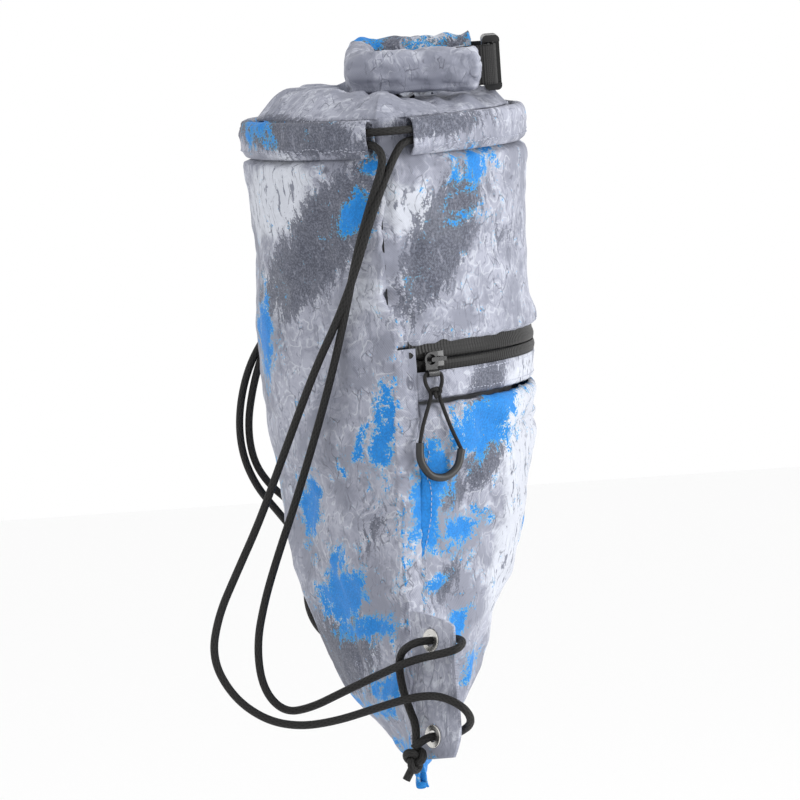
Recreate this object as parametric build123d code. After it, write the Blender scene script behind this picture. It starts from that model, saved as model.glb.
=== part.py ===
"""Roll-top drawstring backpack, stuffed and hung by its rolled collar.

Millimetres, +Z up, +X towards the zipped front, -Y towards the wearer's left side.
Heights are counted from the two bottom corners. Every piece is lowered by HANG_HEIGHT as it is
written, which puts the origin in the middle of the carry ring that the rolled collar makes.
"""
from build123d import *
from math import acos, atan2, cos, degrees, pi, radians, sin, tan
import os

# --- The bag --------------------------------------------------------------------------------
PANEL_WIDTH = 335.0      # front or back fabric from side seam to side seam, laid flat
PANEL_HEIGHT = 410.0     # bottom corners to the top edge of the panels
BOTTOM_RISE = 15.0       # middle of the bottom hem above its corners
SEAM_X = -6.0            # the two side seams lie in this plane
FABRIC = 1.2             # outer fabric with its coating
LINING = 0.8             # pocket's inner wall
SEWN_GAP = 0.2           # between two fabrics that a stitch line joins
SOFT_CLEARANCE = 0.5     # between fabrics that only lie against each other
TOP_STRAIGHT = 34.0      # the panels stand upright this far below their top edge
FULLNESS = (             # height, how far the back and the front bulge, depth of the pocket's wall
    (0.0, 4.0, 4.0, 1.6),
    (12.0, 15.5, 16.5, 7.0),
    (27.0, 28.0, 29.5, 17.0),
    (48.0, 43.5, 40.5, 27.0),
    (75.0, 56.0, 51.0, 37.0),
    (105.0, 64.5, 62.0, 48.0),
    (137.0, 70.0, 72.0, 58.0),
    (205.0, 78.0, 85.0, 71.0),
)
ZIP_FULLNESS = (83.0, 92.5)       # back and front, at the zip
SHOULDER_FULLNESS = (79.7, 90.5)  # halfway from the zip to the channels
TOP_FULLNESS = (77.0, 86.0)
SEAM_TAPE_LOW = 75.0
SEAM_TAPE = (8.0, 0.8, 4.5)       # width, thickness, distance in from the seam

# --- Front pocket and its zip ---------------------------------------------------------------
ZIP_HEIGHT = 259.0       # middle of the zip
ZIP_SHOWN = 15.0         # tape left visible between the panels
ZIP_INSET = 12.5         # from the side seam to the end of the zip
SLIDER_REST = 8.5        # zip left between its end stop and the closed slider
ZIP_FLAT_ZONE = 16.0     # the zip keeps the front upright this far above and below its middle
TAPE = 1.0
TAPE_TUCK = 6.0          # tape hidden under each panel
TAPE_SLIT = 1.8          # between the two halves of the tape
COIL_HEIGHT = 2.8
COIL_DEPTH = 2.4
STOP_LENGTH = 1.6
STRIP_LOW = 10.0         # the side strips taper out this far above the corners
STRIP_GAP = 1.0          # between a side strip and the pocket's panel
POCKET_INSET = 14.0      # from the side seam to the pocket's side stitching
POCKET_DEPTH = 14.0      # between the pocket's panel and its inner wall, near the zip
BAND_HEIGHT = 18.0       # fabric strip under the zip
LINING_RISE = 20.0       # the pocket's wall ends this far above the zip's middle
LINING_INSET = 19.0      # the pocket's wall stops this far from the side seams

# --- Zip slider, puller and pull loop -------------------------------------------------------
SLIDER_LENGTH = 14.0
SLIDER_HEIGHT = 9.2
SLIDER_PLATE = 2.0
SLIDER_CLEARANCE = 0.4
SLIDER_POST = 1.0
CROWN_REACH = (-4.1, 5.0)   # the crown's two legs, along the zip from the slider's middle
CROWN_LEG = 2.0
CROWN_BAR = 1.6
CROWN_HEIGHT = 2.6
PULLER_THICKNESS = 1.4
PULLER_EYE = 3.3         # radius of the puller's hole
PULLER_RIM = 1.4
PULLER_DROP = 8.5        # the hole's middle to the barrel's
BARREL_LENGTH = 7.8
BARREL_WALL = 0.8
PULL_CORD = 2.4
PULL_CORD_CLEARANCE = 0.3
GRIP = 5.0               # moulded grip's thickness
PULL_KNOT = (4.2, 5.4, 4.4)
PULL_KNOT_AT = (1.2, -20.0)  # outwards from the loop's plane, and up from the puller's hole

# --- Drawcord channels ----------------------------------------------------------------------
CHANNEL_HEIGHT = 24.0
CHANNEL_DEPTH = 11.6
CHANNEL_WALL = 1.2
CHANNEL_GAP_FRONT = 20.0  # side seam to the front channel's mouth
CHANNEL_GAP_BACK = 1.0
DRAWCORD = 5.0

# --- Collar, rolled and buckled -------------------------------------------------------------
THROAT_HEIGHT = 9.0      # folded collar between the channels and the roll
COLLAR_DRAW_IN = (7.0, 20.0)  # the collar is drawn in this far, halfway up and at its top
ROLL_HEIGHT = 31.0
ROLL_DEPTH = 24.0
ROLL_WALL = 2.8
ROLL_ROUNDING = 9.0
ROLL_GAP = 0.8           # the loose end of the roll over the collar
RING_HALF_WIDTH = 57.0   # middle plane of the bag to the middle of a roll arm
RING_BACK = -13.0
RING_FRONT = 57.0
RING_BEND = 14.0         # radius of the ring's corners, at the middle of the roll
ARM_SPLIT = 2.0          # where the free arm leaves the rest of the roll
STIFFENER = 1.2
STIFFENER_SETBACK = 10.0  # behind the arm's end, clear of the webbing

# --- Buckle and its webbing -----------------------------------------------------------------
WEBBING_WIDTH = 25.0
WEBBING_THICKNESS = 3.0  # two layers
BUCKLE_X = 70.5
BUCKLE_WIDTH = 35.0
BUCKLE_THICKNESS = 11.0
BUCKLE_WALL = 2.3
BUCKLE_SIDE = 4.0        # solid edge on either side of the socket's cavity
BUCKLE_ROUNDING = 3.0
SOCKET_LENGTH = 36.0
CAVITY_DEPTH = 24.0
PLUG_BASE = 18.0
BUCKLE_CLEARANCE = 0.4
BUCKLE_BAR = 1.9         # radius of the bar that the webbing goes round
BAR_FROM_END = 4.0
WEBBING_SLOT = 10.0
PRONG_LENGTH = 21.0
PRONG_WIDTH = 3.0
PRONG_PAD = (8.0, 19.0)  # the pressed pad, from the socket's mouth
TONGUE_WIDTH = 6.0
RELEASE_TRAVEL = 28.0

# --- Corner tabs with eyelets ---------------------------------------------------------------
TAB_WIDTH = 42.0
TAB_THICKNESS = 2.4
TAB_LOW = 16.0
TAB_HIGH = 108.0
TAB_TURN = 40.0          # degrees that the tab is turned towards the front
EYELET_HEIGHTS = (33.0, 91.0)
EYELET_INSETS = (17.0, 21.0)
EYELET_BORE = 7.4
EYELET_TUBE = 0.6
EYELET_FLANGE = 14.6
EYELET_RIM = 1.0
EYELET_CLEARANCE = 0.1

# --- Knots ----------------------------------------------------------------------------------
KNOT = (8.6, 8.0, 9.6)   # half sizes of a drawcord's knot
KNOT_AT = (-8.0, 184.0, -415.0)
KNOT_TAIL = (15.0, 0.4, 215.0)  # length, how much thicker than the cord, turn in degrees

HANG_HEIGHT = PANEL_HEIGHT + THROAT_HEIGHT + ROLL_HEIGHT / 2 + 1.5

# --- Cord routes, points from the carry ring ------------------------------------------------
# One drawcord: knot, upper eyelet, inner strap strand, back channel, across the far gap,
# front channel, outer strap strand, lower eyelet, knot.
LEFT_DRAWCORD = (
    (-7, -181, -408), (-5.5, -176, -397), (-9, -168, -387.5), (-12.5, -163, -376),
    (-14, -161.5, -363.5), (-13, -165.5, -352.5), (-6.5, -173.8, -346), (1.3, -174.6, -344.1),
    (13.5, -164.4, -345.9), (21.5, -169, -344.5), (26.5, -181, -345), (23, -192.5, -348),
    (12, -188, -351), (0, -177.5, -354), (-13, -170.5, -358.5), (-30, -161, -366.5),
    (-50, -151, -376), (-70, -143, -385.5), (-87, -135, -388.5), (-99.5, -126, -374),
    (-101.5, -116, -348), (-95, -108, -322), (-85, -103, -295), (-73, -101, -266),
    (-61, -104, -234), (-50, -111, -203), (-40, -119, -172), (-31, -127, -140),
    (-23, -134, -109), (-13, -141, -79), (-4.5, -145, -59), (-2.5, -146, -47),
    (-9.5, -142.3, -40.5), (-27, -131.2, -40.5), (-55.6, -102.1, -40.5), (-77.5, -64.2, -40.5),
    (-88.9, -21.9, -40.5), (-88.9, 21.9, -40.5), (-77.5, 64.2, -40.5), (-55.6, 102.1, -40.5),
    (-27, 131.2, -40.5), (-12.5, 142, -40.5), (3.5, 142, -40.5), (24.9, 126.5, -40.5),
    (54.4, 97, -40.5), (75.2, 61, -40.5), (85.9, 20.8, -40.5), (85.9, -20.8, -40.5),
    (75.2, -61, -40.5), (54.4, -97, -40.5), (25.5, -126.3, -40.5), (10.5, -135, -40.5),
    (4.5, -141, -49), (-3, -143.5, -64), (-14, -141, -90), (-24, -134.5, -118),
    (-36, -126, -146), (-52, -115, -176), (-66, -107, -207), (-80, -102.5, -239),
    (-95, -104, -273), (-111, -109, -303), (-124, -117, -328), (-129.5, -127, -353),
    (-118, -137, -376), (-99, -145.5, -390.5), (-78, -153.5, -395), (-55, -161, -392),
    (-32, -169.5, -385), (-12, -180, -378.5), (2, -183, -376.5), (13, -193, -377),
    (25, -201, -383.5), (28.5, -192, -394), (20, -177, -402), (11.1, -171.3, -403.9),
    (-1.1, -181.5, -402.1), (-8.5, -184, -408.5),
)
RIGHT_DRAWCORD = (
    (-7, 181, -408), (-5.5, 176, -397), (-9, 168, -387.5), (-12.5, 163, -376),
    (-14, 161.5, -363.5), (-13, 165.5, -352.5), (-6.5, 173.8, -346), (1.3, 174.6, -344.1),
    (13.5, 164.4, -345.9), (21.5, 169, -344.5), (26.5, 181, -345), (23, 192.5, -348),
    (12, 188, -351), (0, 177.5, -354), (-13, 171, -359), (-29, 165, -368),
    (-45, 158, -376), (-58, 149, -371), (-63, 139, -352), (-62, 130, -328),
    (-68, 120, -304), (-80, 113, -285), (-93, 107, -272), (-102, 103, -255),
    (-104, 100, -232), (-99, 99, -207), (-91, 102, -184), (-78, 108, -164),
    (-61, 117, -145), (-43, 127, -125), (-27, 136, -105), (-15, 143, -83),
    (-8.5, 148, -60), (-6, 151.5, -45.5), (-5, 150, -36), (-8.5, 142.6, -34),
    (-27, 131.2, -34),
    (-55.6, 102.1, -34), (-77.5, 64.2, -34), (-88.9, 21.9, -34), (-88.9, -21.9, -34),
    (-77.5, -64.2, -34), (-55.6, -102.1, -34), (-27, -131.2, -34), (-12.5, -142, -34),
    (3.5, -142, -34), (24.9, -126.5, -34), (54.4, -97, -34), (75.2, -61, -34),
    (85.9, -20.8, -34), (85.9, 20.8, -34), (75.2, 61, -34), (54.4, 97, -34),
    (25.5, 126.3, -34), (10.5, 135, -34), (6.5, 145, -34.5), (3, 149.5, -41),
    (0.5, 149, -53),
    (-6, 147.5, -74), (-19, 141, -98), (-35, 133, -121), (-52, 123, -140),
    (-70, 113, -155), (-88, 105, -172), (-102, 100, -195), (-109.5, 98.5, -224),
    (-109, 100, -250), (-101, 104, -273), (-88, 109, -291), (-75, 117, -311),
    (-72, 128, -336), (-74, 139, -362), (-64, 150, -382), (-47, 159, -391),
    (-29, 169, -386), (-12, 180, -378.5), (2, 183, -376.5), (13, 193, -377),
    (25, 201, -383.5), (28.5, 192, -394), (20, 177, -402), (11.1, 171.3, -403.9),
    (-1.1, 181.5, -402.1), (-8.5, 184, -408.5),
)
# The pull loop: out from the zip's arc, along it, and up, from the middle of the puller's hole.
PULL_OUT = 3.6
PULL_TILT = 5.0          # degrees that the loop leans outwards, resting on the pocket
PULL_LOOP = (
    (-15, -50), (-12, -41), (-7, -30.5), (-2.4, -21.5), (-6.2, -14.7), (-6.2, -8.5),
    (6.2, -8.5), (6.2, -14.7), (2.4, -21.5), (5.6, -33.5), (9.4, -45), (14.4, -57),
)
GRIP_LINE = ((-15, -50), (-16.6, -61), (-10, -71.5), (1, -73.5), (11, -67.5), (14.4, -57))


def fullness(height):
    """Back bulge, front bulge and depth of the pocket's wall at a height."""
    zone = ZIP_FLAT_ZONE
    back, front = ZIP_FULLNESS
    top_back, top_front = TOP_FULLNESS
    halfway = (ZIP_HEIGHT + zone + PANEL_HEIGHT - TOP_STRAIGHT) / 2
    rows = FULLNESS + (
        (ZIP_HEIGHT - zone, back - 0.5, front, front - POCKET_DEPTH),
        (ZIP_HEIGHT + 0.3 * zone, back, front, front - POCKET_DEPTH),
        (ZIP_HEIGHT + zone, back, front, front - POCKET_DEPTH / 2),
        (ZIP_HEIGHT + LINING_RISE, back, front, front - FABRIC - 2 * LINING),
        (halfway, *SHOULDER_FULLNESS, front),
        (PANEL_HEIGHT - TOP_STRAIGHT, top_back, top_front, top_front),
        (PANEL_HEIGHT, top_back, top_front, top_front),
    )
    for low, high in zip(rows, rows[1:]):
        if height <= high[0]:
            share = (height - low[0]) / (high[0] - low[0])
            return [a + share * (b - a) for a, b in zip(low[1:], high[1:])]
    return list(rows[-1][1:])


def levels(low, high):
    """The heights that a wall between low and high is lofted through."""
    zone = ZIP_FLAT_ZONE
    halfway = (ZIP_HEIGHT + zone + PANEL_HEIGHT - TOP_STRAIGHT) / 2
    known = [row[0] for row in FULLNESS]
    known += [ZIP_HEIGHT - zone, ZIP_HEIGHT, ZIP_HEIGHT + zone, halfway]
    known += [PANEL_HEIGHT - TOP_STRAIGHT, PANEL_HEIGHT - TOP_STRAIGHT / 2, PANEL_HEIGHT]
    return [low] + [z for z in known if low + 3 < z < high - 3] + [high]


def half_chord(height):
    """Half the straight distance between the side seams, once the fabric bulges."""
    back, front, _ = fullness(height)
    depth = (back + front) / 2
    half = PANEL_WIDTH / 2
    for _ in range(40):
        radius = (half**2 + depth**2) / (2 * depth)
        half *= PANEL_WIDTH / (2 * radius * atan2(half, radius - depth))
    return half


def arc_of(height, side, wall="shell"):
    """Centre and radius of the arc that a panel follows at a height; side is 1 front, -1 back."""
    back, front, lining = fullness(height)
    depth = lining if wall == "lining" else (front if side > 0 else back)
    half = half_chord(height) - (LINING_INSET if wall == "lining" else 0)
    radius = (half**2 + depth**2) / (2 * depth)
    return SEAM_X + side * (depth - radius), radius


def band_wire(height, side, outer, inner, start=0.0, stop=0.0, wall="shell"):
    """Outline of a curved wall at one height.

    outer and inner are depths below the panel's outer face; start and stop are lengths of
    fabric left out at the left and the right seam, where 0 ends the wall in the seam plane.
    """
    centre, radius = arc_of(height, side, wall)
    to_plane = abs(SEAM_X - centre)

    def end_angle(reach, inset):
        if inset == 0:
            return acos(to_plane / reach)
        return acos(to_plane / radius) - inset / radius

    def point(reach, angle):
        return Vector(centre + side * reach * cos(angle), reach * sin(angle), height)

    corners = []
    middles = []
    for reach in (radius - outer, radius - inner):
        low = -end_angle(reach, start)
        high = end_angle(reach, stop)
        corners.append((point(reach, low), point(reach, high)))
        middles.append(point(reach, (low + high) / 2))
    edges = [
        Edge.make_three_point_arc(corners[0][0], middles[0], corners[0][1]),
        Edge.make_line(corners[0][1], corners[1][1]),
        Edge.make_three_point_arc(corners[1][1], middles[1], corners[1][0]),
        Edge.make_line(corners[1][0], corners[0][0]),
    ]
    return Wire(edges)


def curved_wall(low, high, side, outer, inner, start=0.0, stop=0.0, wall="shell"):
    wires = [band_wire(z, side, outer, inner, start, stop, wall) for z in levels(low, high)]
    return Part() + Solid.make_loft(wires, ruled=True)


def fabric_length(height, side):
    """Length of the panel's arc from seam to seam."""
    centre, radius = arc_of(height, side)
    return 2 * radius * acos(abs(SEAM_X - centre) / radius)


def hem_cylinder(radius_change=0.0):
    """Round bar below the bag whose top is the curve of the bottom hem."""
    half = half_chord(0)
    radius = (half**2 + BOTTOM_RISE**2) / (2 * BOTTOM_RISE)
    bar = Rot(0, 90, 0) * Cylinder(radius + radius_change, 4 * PANEL_WIDTH)
    return Pos(0, 0, BOTTOM_RISE - radius) * bar


def write(name, shape, lowered=True):
    placed = Pos(0, 0, -HANG_HEIGHT) * shape if lowered else shape
    placed.label = name
    export_step(placed, f"parts/{name}.step")


def mirrored(shape):
    return mirror(shape, about=Plane.XZ)


# --- Panels ---------------------------------------------------------------------------------
def make_panels():
    zip_low = ZIP_HEIGHT - ZIP_SHOWN / 2
    zip_high = ZIP_HEIGHT + ZIP_SHOWN / 2
    band_low = zip_low - BAND_HEIGHT
    hem = hem_cylinder()
    write("back_panel", curved_wall(0, PANEL_HEIGHT, -1, 0, FABRIC) - hem)
    write("front_upper_panel", curved_wall(zip_high, PANEL_HEIGHT, 1, 0, FABRIC))
    pocket_edge = POCKET_INSET + STRIP_GAP
    pocket = curved_wall(0, band_low - SEWN_GAP, 1, 0, FABRIC, pocket_edge, pocket_edge)
    write("pocket_panel", pocket - hem)
    write("pocket_band", curved_wall(band_low, zip_low, 1, 0, FABRIC, pocket_edge, pocket_edge))
    lining = curved_wall(2, ZIP_HEIGHT + LINING_RISE, 1, 0, LINING, wall="lining")
    write("pocket_lining", lining - hem)
    strip_wires = []
    for height in levels(STRIP_LOW, zip_high - SEWN_GAP):
        stop = fabric_length(height, 1) - POCKET_INSET
        strip_wires.append(band_wire(height, 1, 0, FABRIC, 0, stop))
    strip = Part() + Solid.make_loft(strip_wires, ruled=True) - hem
    write("side_strip_left", strip)
    write("side_strip_right", mirrored(strip))


def make_hem_and_seams():
    half = half_chord(0)
    block = Pos(SEAM_X, 0, 0) * Box(2 * fullness(0)[0], 2 * half, 4 * BOTTOM_RISE)
    write("bottom_binding", block & (hem_cylinder() - hem_cylinder(-3.0)))
    width, thickness, setback = SEAM_TAPE
    near, far = SEAM_X - thickness / 2, SEAM_X + thickness / 2
    tape_wires = []
    for height in levels(SEAM_TAPE_LOW, PANEL_HEIGHT - CHANNEL_HEIGHT):
        edge = setback - half_chord(height)
        corners = [(near, edge, height), (far, edge, height),
                   (far, edge + width, height), (near, edge + width, height)]
        tape_wires.append(Wire.make_polygon([Vector(*c) for c in corners]))
    tape = Part() + Solid.make_loft(tape_wires, ruled=True)
    write("side_seam_tape_left", tape)
    write("side_seam_tape_right", mirrored(tape))


# --- Drawcord channels ----------------------------------------------------------------------
def make_channels():
    low = PANEL_HEIGHT - CHANNEL_HEIGHT
    for name, side, gap in (("channel_front", 1, CHANNEL_GAP_FRONT),
                            ("channel_back", -1, CHANNEL_GAP_BACK)):
        sleeve = Solid.extrude(
            Face(band_wire(low, side, -CHANNEL_DEPTH, -SOFT_CLEARANCE, gap, gap)),
            Vector(0, 0, CHANNEL_HEIGHT))
        tunnel = Solid.extrude(
            Face(band_wire(low + 1.5 * CHANNEL_WALL, side, -CHANNEL_DEPTH + CHANNEL_WALL,
                           -SOFT_CLEARANCE - CHANNEL_WALL, gap - 1, gap - 1)),
            Vector(0, 0, CHANNEL_HEIGHT - 3 * CHANNEL_WALL))
        write(name, Part() + sleeve - tunnel)


# --- Collar ---------------------------------------------------------------------------------
def lens_wire(height, shrink):
    """The bag's whole outline at its mouth, drawn in by shrink all round."""
    back, front, _ = fullness(PANEL_HEIGHT)
    corner = half_chord(PANEL_HEIGHT) - 1.15 * shrink
    edges = []
    for bulge, way in ((front - shrink, 1), (shrink - back, -1)):
        edges.append(Edge.make_three_point_arc(
            Vector(SEAM_X, -way * corner, height), Vector(SEAM_X + bulge, 0, height),
            Vector(SEAM_X, way * corner, height)))
    return Wire(edges)


def make_collar():
    low = PANEL_HEIGHT + SEWN_GAP
    high = PANEL_HEIGHT + THROAT_HEIGHT
    middle = (low + high) / 2
    half_way, top = COLLAR_DRAW_IN
    dome = Part() + Solid.make_loft(
        [lens_wire(low, 0), lens_wire(middle, half_way), lens_wire(high, top)])
    hollow = Part() + Solid.make_loft(
        [lens_wire(low, FABRIC), lens_wire(middle - FABRIC, half_way + FABRIC),
         lens_wire(high - FABRIC, top + FABRIC)])
    write("collar", dome - hollow)


def roll_section(start, width, height, rounding):
    return Plane(origin=start, x_dir=(0, 1, 0), z_dir=(-1, 0, 0)) * RectangleRounded(
        width, height, rounding)


def make_roll():
    middle = HANG_HEIGHT
    fixed = FilletPolyline(
        (RING_FRONT, RING_HALF_WIDTH, middle), (RING_BACK, RING_HALF_WIDTH, middle),
        (RING_BACK, -RING_HALF_WIDTH, middle), (ARM_SPLIT, -RING_HALF_WIDTH, middle),
        radius=(RING_BEND, RING_BEND))
    start = (RING_FRONT, RING_HALF_WIDTH, middle)
    hollow_depth = ROLL_DEPTH - 2 * ROLL_WALL
    hollow_height = ROLL_HEIGHT - 2 * ROLL_WALL
    outside = sweep(roll_section(start, ROLL_DEPTH, ROLL_HEIGHT, ROLL_ROUNDING), fixed)
    inside = sweep(roll_section(start, hollow_depth, hollow_height,
                                ROLL_ROUNDING - ROLL_WALL), fixed)
    write("rolled_collar", outside - inside)
    strip_start = (RING_FRONT - STIFFENER_SETBACK, RING_HALF_WIDTH, middle)
    strip_path = FilletPolyline(
        strip_start, (RING_BACK, RING_HALF_WIDTH, middle),
        (RING_BACK, -RING_HALF_WIDTH, middle), (ARM_SPLIT, -RING_HALF_WIDTH, middle),
        radius=(RING_BEND, RING_BEND))
    strip_plane = Plane(origin=strip_start, x_dir=(0, 1, 0), z_dir=(-1, 0, 0))
    strip = sweep(strip_plane * Rectangle(STIFFENER, hollow_height - 0.4), strip_path)
    write("collar_stiffener", strip)
    free_start = (ARM_SPLIT + SOFT_CLEARANCE, -RING_HALF_WIDTH, middle)
    free = Line(free_start, (RING_FRONT, -RING_HALF_WIDTH, middle))
    plane = Plane(origin=free_start, x_dir=(0, 1, 0), z_dir=(1, 0, 0))
    arm = sweep(plane * RectangleRounded(ROLL_DEPTH, ROLL_HEIGHT, ROLL_ROUNDING), free)
    bore = sweep(plane * RectangleRounded(hollow_depth, hollow_height,
                                          ROLL_ROUNDING - ROLL_WALL), free)
    write("roll_free_arm", arm - bore)


# --- Buckle ---------------------------------------------------------------------------------
def buckle_block(y_low, y_high, half_width, half_thickness):
    return Pos(BUCKLE_X, (y_low + y_high) / 2, HANG_HEIGHT) * Box(
        2 * half_thickness, y_high - y_low, 2 * half_width)


def webbing_bar(y):
    """The round bar across a buckle half that the webbing turns back over."""
    bar = Cylinder(BUCKLE_BAR, BUCKLE_WIDTH - BUCKLE_SIDE)
    return Pos(BUCKLE_X, y, HANG_HEIGHT) * bar


def webbing_tab(bar_y):
    """Webbing from inside a roll arm, round the arm's end, to a ring about the bar."""
    toward = 1 if bar_y > 0 else -1
    ring_wall = WEBBING_THICKNESS / 2
    ring_in = BUCKLE_BAR + 0.3
    start = (RING_FRONT - 8, toward * RING_HALF_WIDTH, HANG_HEIGHT)
    bar_end = (BUCKLE_X, bar_y + toward * (ring_in + ring_wall / 2), HANG_HEIGHT)
    path = FilletPolyline(
        start, (BUCKLE_X - 2, toward * RING_HALF_WIDTH, HANG_HEIGHT), bar_end, radius=9)
    plane = Plane(origin=start, x_dir=(0, 1, 0), z_dir=(1, 0, 0))
    strap = sweep(plane * Rectangle(WEBBING_THICKNESS, WEBBING_WIDTH), path)
    ring = Cylinder(ring_in + ring_wall, WEBBING_WIDTH)
    eye = Cylinder(ring_in, BUCKLE_WIDTH)
    place = Pos(BUCKLE_X, bar_y, HANG_HEIGHT)
    return strap + place * ring - place * eye


def buckle_half_frame(y_low, y_high, bar_y):
    """Outer block of a buckle half, open at its end round the bar that takes the webbing."""
    block = buckle_block(y_low, y_high, BUCKLE_WIDTH / 2, BUCKLE_THICKNESS / 2)
    block = fillet(block.edges().filter_by(Axis.Y), BUCKLE_ROUNDING)
    toward = 1 if bar_y > 0 else -1
    reach = sorted((bar_y - toward * WEBBING_SLOT / 2, bar_y + toward * 2 * WEBBING_SLOT))
    slot = buckle_block(*reach, WEBBING_WIDTH / 2 + 0.6, BUCKLE_THICKNESS)
    return block - slot + webbing_bar(bar_y)


def make_buckle():
    half_cavity = BUCKLE_WIDTH / 2 - BUCKLE_SIDE
    thin = BUCKLE_THICKNESS / 2 - BUCKLE_WALL
    socket_bar = SOCKET_LENGTH - BAR_FROM_END - BUCKLE_BAR
    socket = buckle_half_frame(0, SOCKET_LENGTH, socket_bar)
    socket -= buckle_block(-1, CAVITY_DEPTH, half_cavity, thin)
    window = buckle_block(PRONG_PAD[0] - 0.6, PRONG_PAD[1] + 0.6, BUCKLE_WIDTH, thin)
    write("buckle_socket", socket - window)

    base_low = -PLUG_BASE - BUCKLE_CLEARANCE
    plug_bar = base_low + BAR_FROM_END + BUCKLE_BAR
    base = buckle_half_frame(base_low, -BUCKLE_CLEARANCE, plug_bar)
    tongue = buckle_block(-BUCKLE_CLEARANCE, CAVITY_DEPTH - 2, TONGUE_WIDTH / 2,
                          thin - BUCKLE_CLEARANCE)
    prong_at = half_cavity - BUCKLE_CLEARANCE - PRONG_WIDTH / 2
    plug = base + tongue
    for way in (1, -1):
        groove = Pos(BUCKLE_X, -BUCKLE_CLEARANCE, HANG_HEIGHT + way * prong_at) * (
            Rot(0, 90, 0) * Cylinder(PRONG_WIDTH / 2 + 0.35, 2 * BUCKLE_THICKNESS))
        plug -= groove
    write("buckle_plug", plug)

    half_thin = thin - BUCKLE_CLEARANCE
    for name, way in (("buckle_prong_upper", 1), ("buckle_prong_lower", -1)):
        centre = HANG_HEIGHT + way * prong_at
        root = Pos(BUCKLE_X, -BUCKLE_CLEARANCE, centre) * (
            Rot(0, 90, 0) * Cylinder(PRONG_WIDTH / 2, 2 * half_thin))
        bar = Pos(BUCKLE_X, PRONG_LENGTH / 2 - BUCKLE_CLEARANCE, centre) * Box(
            2 * half_thin, PRONG_LENGTH, PRONG_WIDTH)
        pad_out = BUCKLE_WIDTH / 2 - 0.6
        inner_face = centre + way * PRONG_WIDTH / 2
        outline = Polyline(
            (PRONG_PAD[0] + 0.2, inner_face), (PRONG_PAD[0] + 1.5, HANG_HEIGHT + way * pad_out),
            (PRONG_PAD[0] + 6.0, HANG_HEIGHT + way * pad_out), (PRONG_PAD[1], inner_face),
            close=True)
        face = Plane(origin=(BUCKLE_X - half_thin, 0, 0), x_dir=(0, 1, 0), z_dir=(1, 0, 0)) * (
            make_face(outline))
        write(name, root + bar + extrude(face, 2 * half_thin))

    write("webbing_tab_right", webbing_tab(socket_bar))
    write("webbing_tab_left", webbing_tab(plug_bar))


# --- Zip ------------------------------------------------------------------------------------
def zip_arc():
    """Centre, radius and half angle of the zip, which keeps one curve over its whole height."""
    centre, radius = arc_of(ZIP_HEIGHT, 1)
    angle = acos(abs(SEAM_X - centre) / radius) - ZIP_INSET / radius
    return centre, radius, angle


def ring_piece(inner, outer, low, high, start, stop):
    """Part of a ring about the zip's centre, heights from the zip's middle, angles in radians."""
    centre, _, _ = zip_arc()

    def point(reach, angle):
        return Vector(centre + reach * cos(angle), reach * sin(angle), ZIP_HEIGHT + low)

    half = (start + stop) / 2
    outline = Wire([
        Edge.make_three_point_arc(point(outer, start), point(outer, half), point(outer, stop)),
        Edge.make_line(point(outer, stop), point(inner, stop)),
        Edge.make_three_point_arc(point(inner, stop), point(inner, half), point(inner, start)),
        Edge.make_line(point(inner, start), point(outer, start)),
    ])
    return Part() + Solid.extrude(Face(outline), Vector(0, 0, high - low))


def zip_depths():
    """Radii of the tape's faces, the coil's faces and the slider's plates."""
    _, radius, _ = zip_arc()
    tape_out = radius - FABRIC - SEWN_GAP
    tape_in = tape_out - TAPE
    coil_out = tape_in - 0.1
    coil_in = coil_out - COIL_DEPTH
    return tape_out, tape_in, coil_out, coil_in


def make_zip():
    _, radius, angle = zip_arc()
    tape_out, tape_in, coil_out, coil_in = zip_depths()
    slit = TAPE_SLIT / 2
    edge = ZIP_SHOWN / 2 + TAPE_TUCK
    tape = ring_piece(tape_in, tape_out, slit, edge, -angle, angle)
    across = Plane(origin=(0, 0, ZIP_HEIGHT), x_dir=(1, 0, 0), z_dir=(0, 0, 1))
    write("zip_tape_upper", tape)
    write("zip_tape_lower", mirror(tape, about=across))
    stop_angle = STOP_LENGTH / radius
    stops = Part()
    for start in (-angle, angle - stop_angle):
        stops += ring_piece(coil_in, coil_out, -slit - COIL_HEIGHT, slit + COIL_HEIGHT,
                            start, start + stop_angle)
    gap_angle = SEWN_GAP / radius
    coil = ring_piece(coil_in, coil_out, slit, slit + COIL_HEIGHT,
                      -angle + stop_angle + gap_angle, angle - stop_angle - gap_angle)
    write("zip_coil_upper", coil)
    write("zip_coil_lower", mirror(coil, about=across))
    write("zip_end_stops", stops)


def slider_angle():
    """Rest angle of the slider, just inside the left end stop."""
    _, radius, angle = zip_arc()
    return -(angle - (STOP_LENGTH + SLIDER_LENGTH / 2 + SLIDER_REST) / radius)


def on_zip(shape):
    """Turns a shape built at the middle of the zip to where the slider rests."""
    centre, _, _ = zip_arc()
    turn = Rot(0, 0, degrees(slider_angle()))
    return Pos(centre, 0, 0) * turn * Pos(-centre, 0, 0) * shape


def zip_plane(reach):
    """Plane that faces out of the zip at its middle: x along the zip, y up."""
    centre, _, _ = zip_arc()
    return Plane(origin=(centre + reach, 0, ZIP_HEIGHT), x_dir=(0, 1, 0), z_dir=(1, 0, 0))


def crown_depths():
    tape_out, _, _, _ = zip_depths()
    plate_in = tape_out + SLIDER_CLEARANCE
    plate_out = plate_in + SLIDER_PLATE
    bar_in = plate_out + CROWN_HEIGHT
    return plate_in, plate_out, bar_in, bar_in + CROWN_BAR


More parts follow.
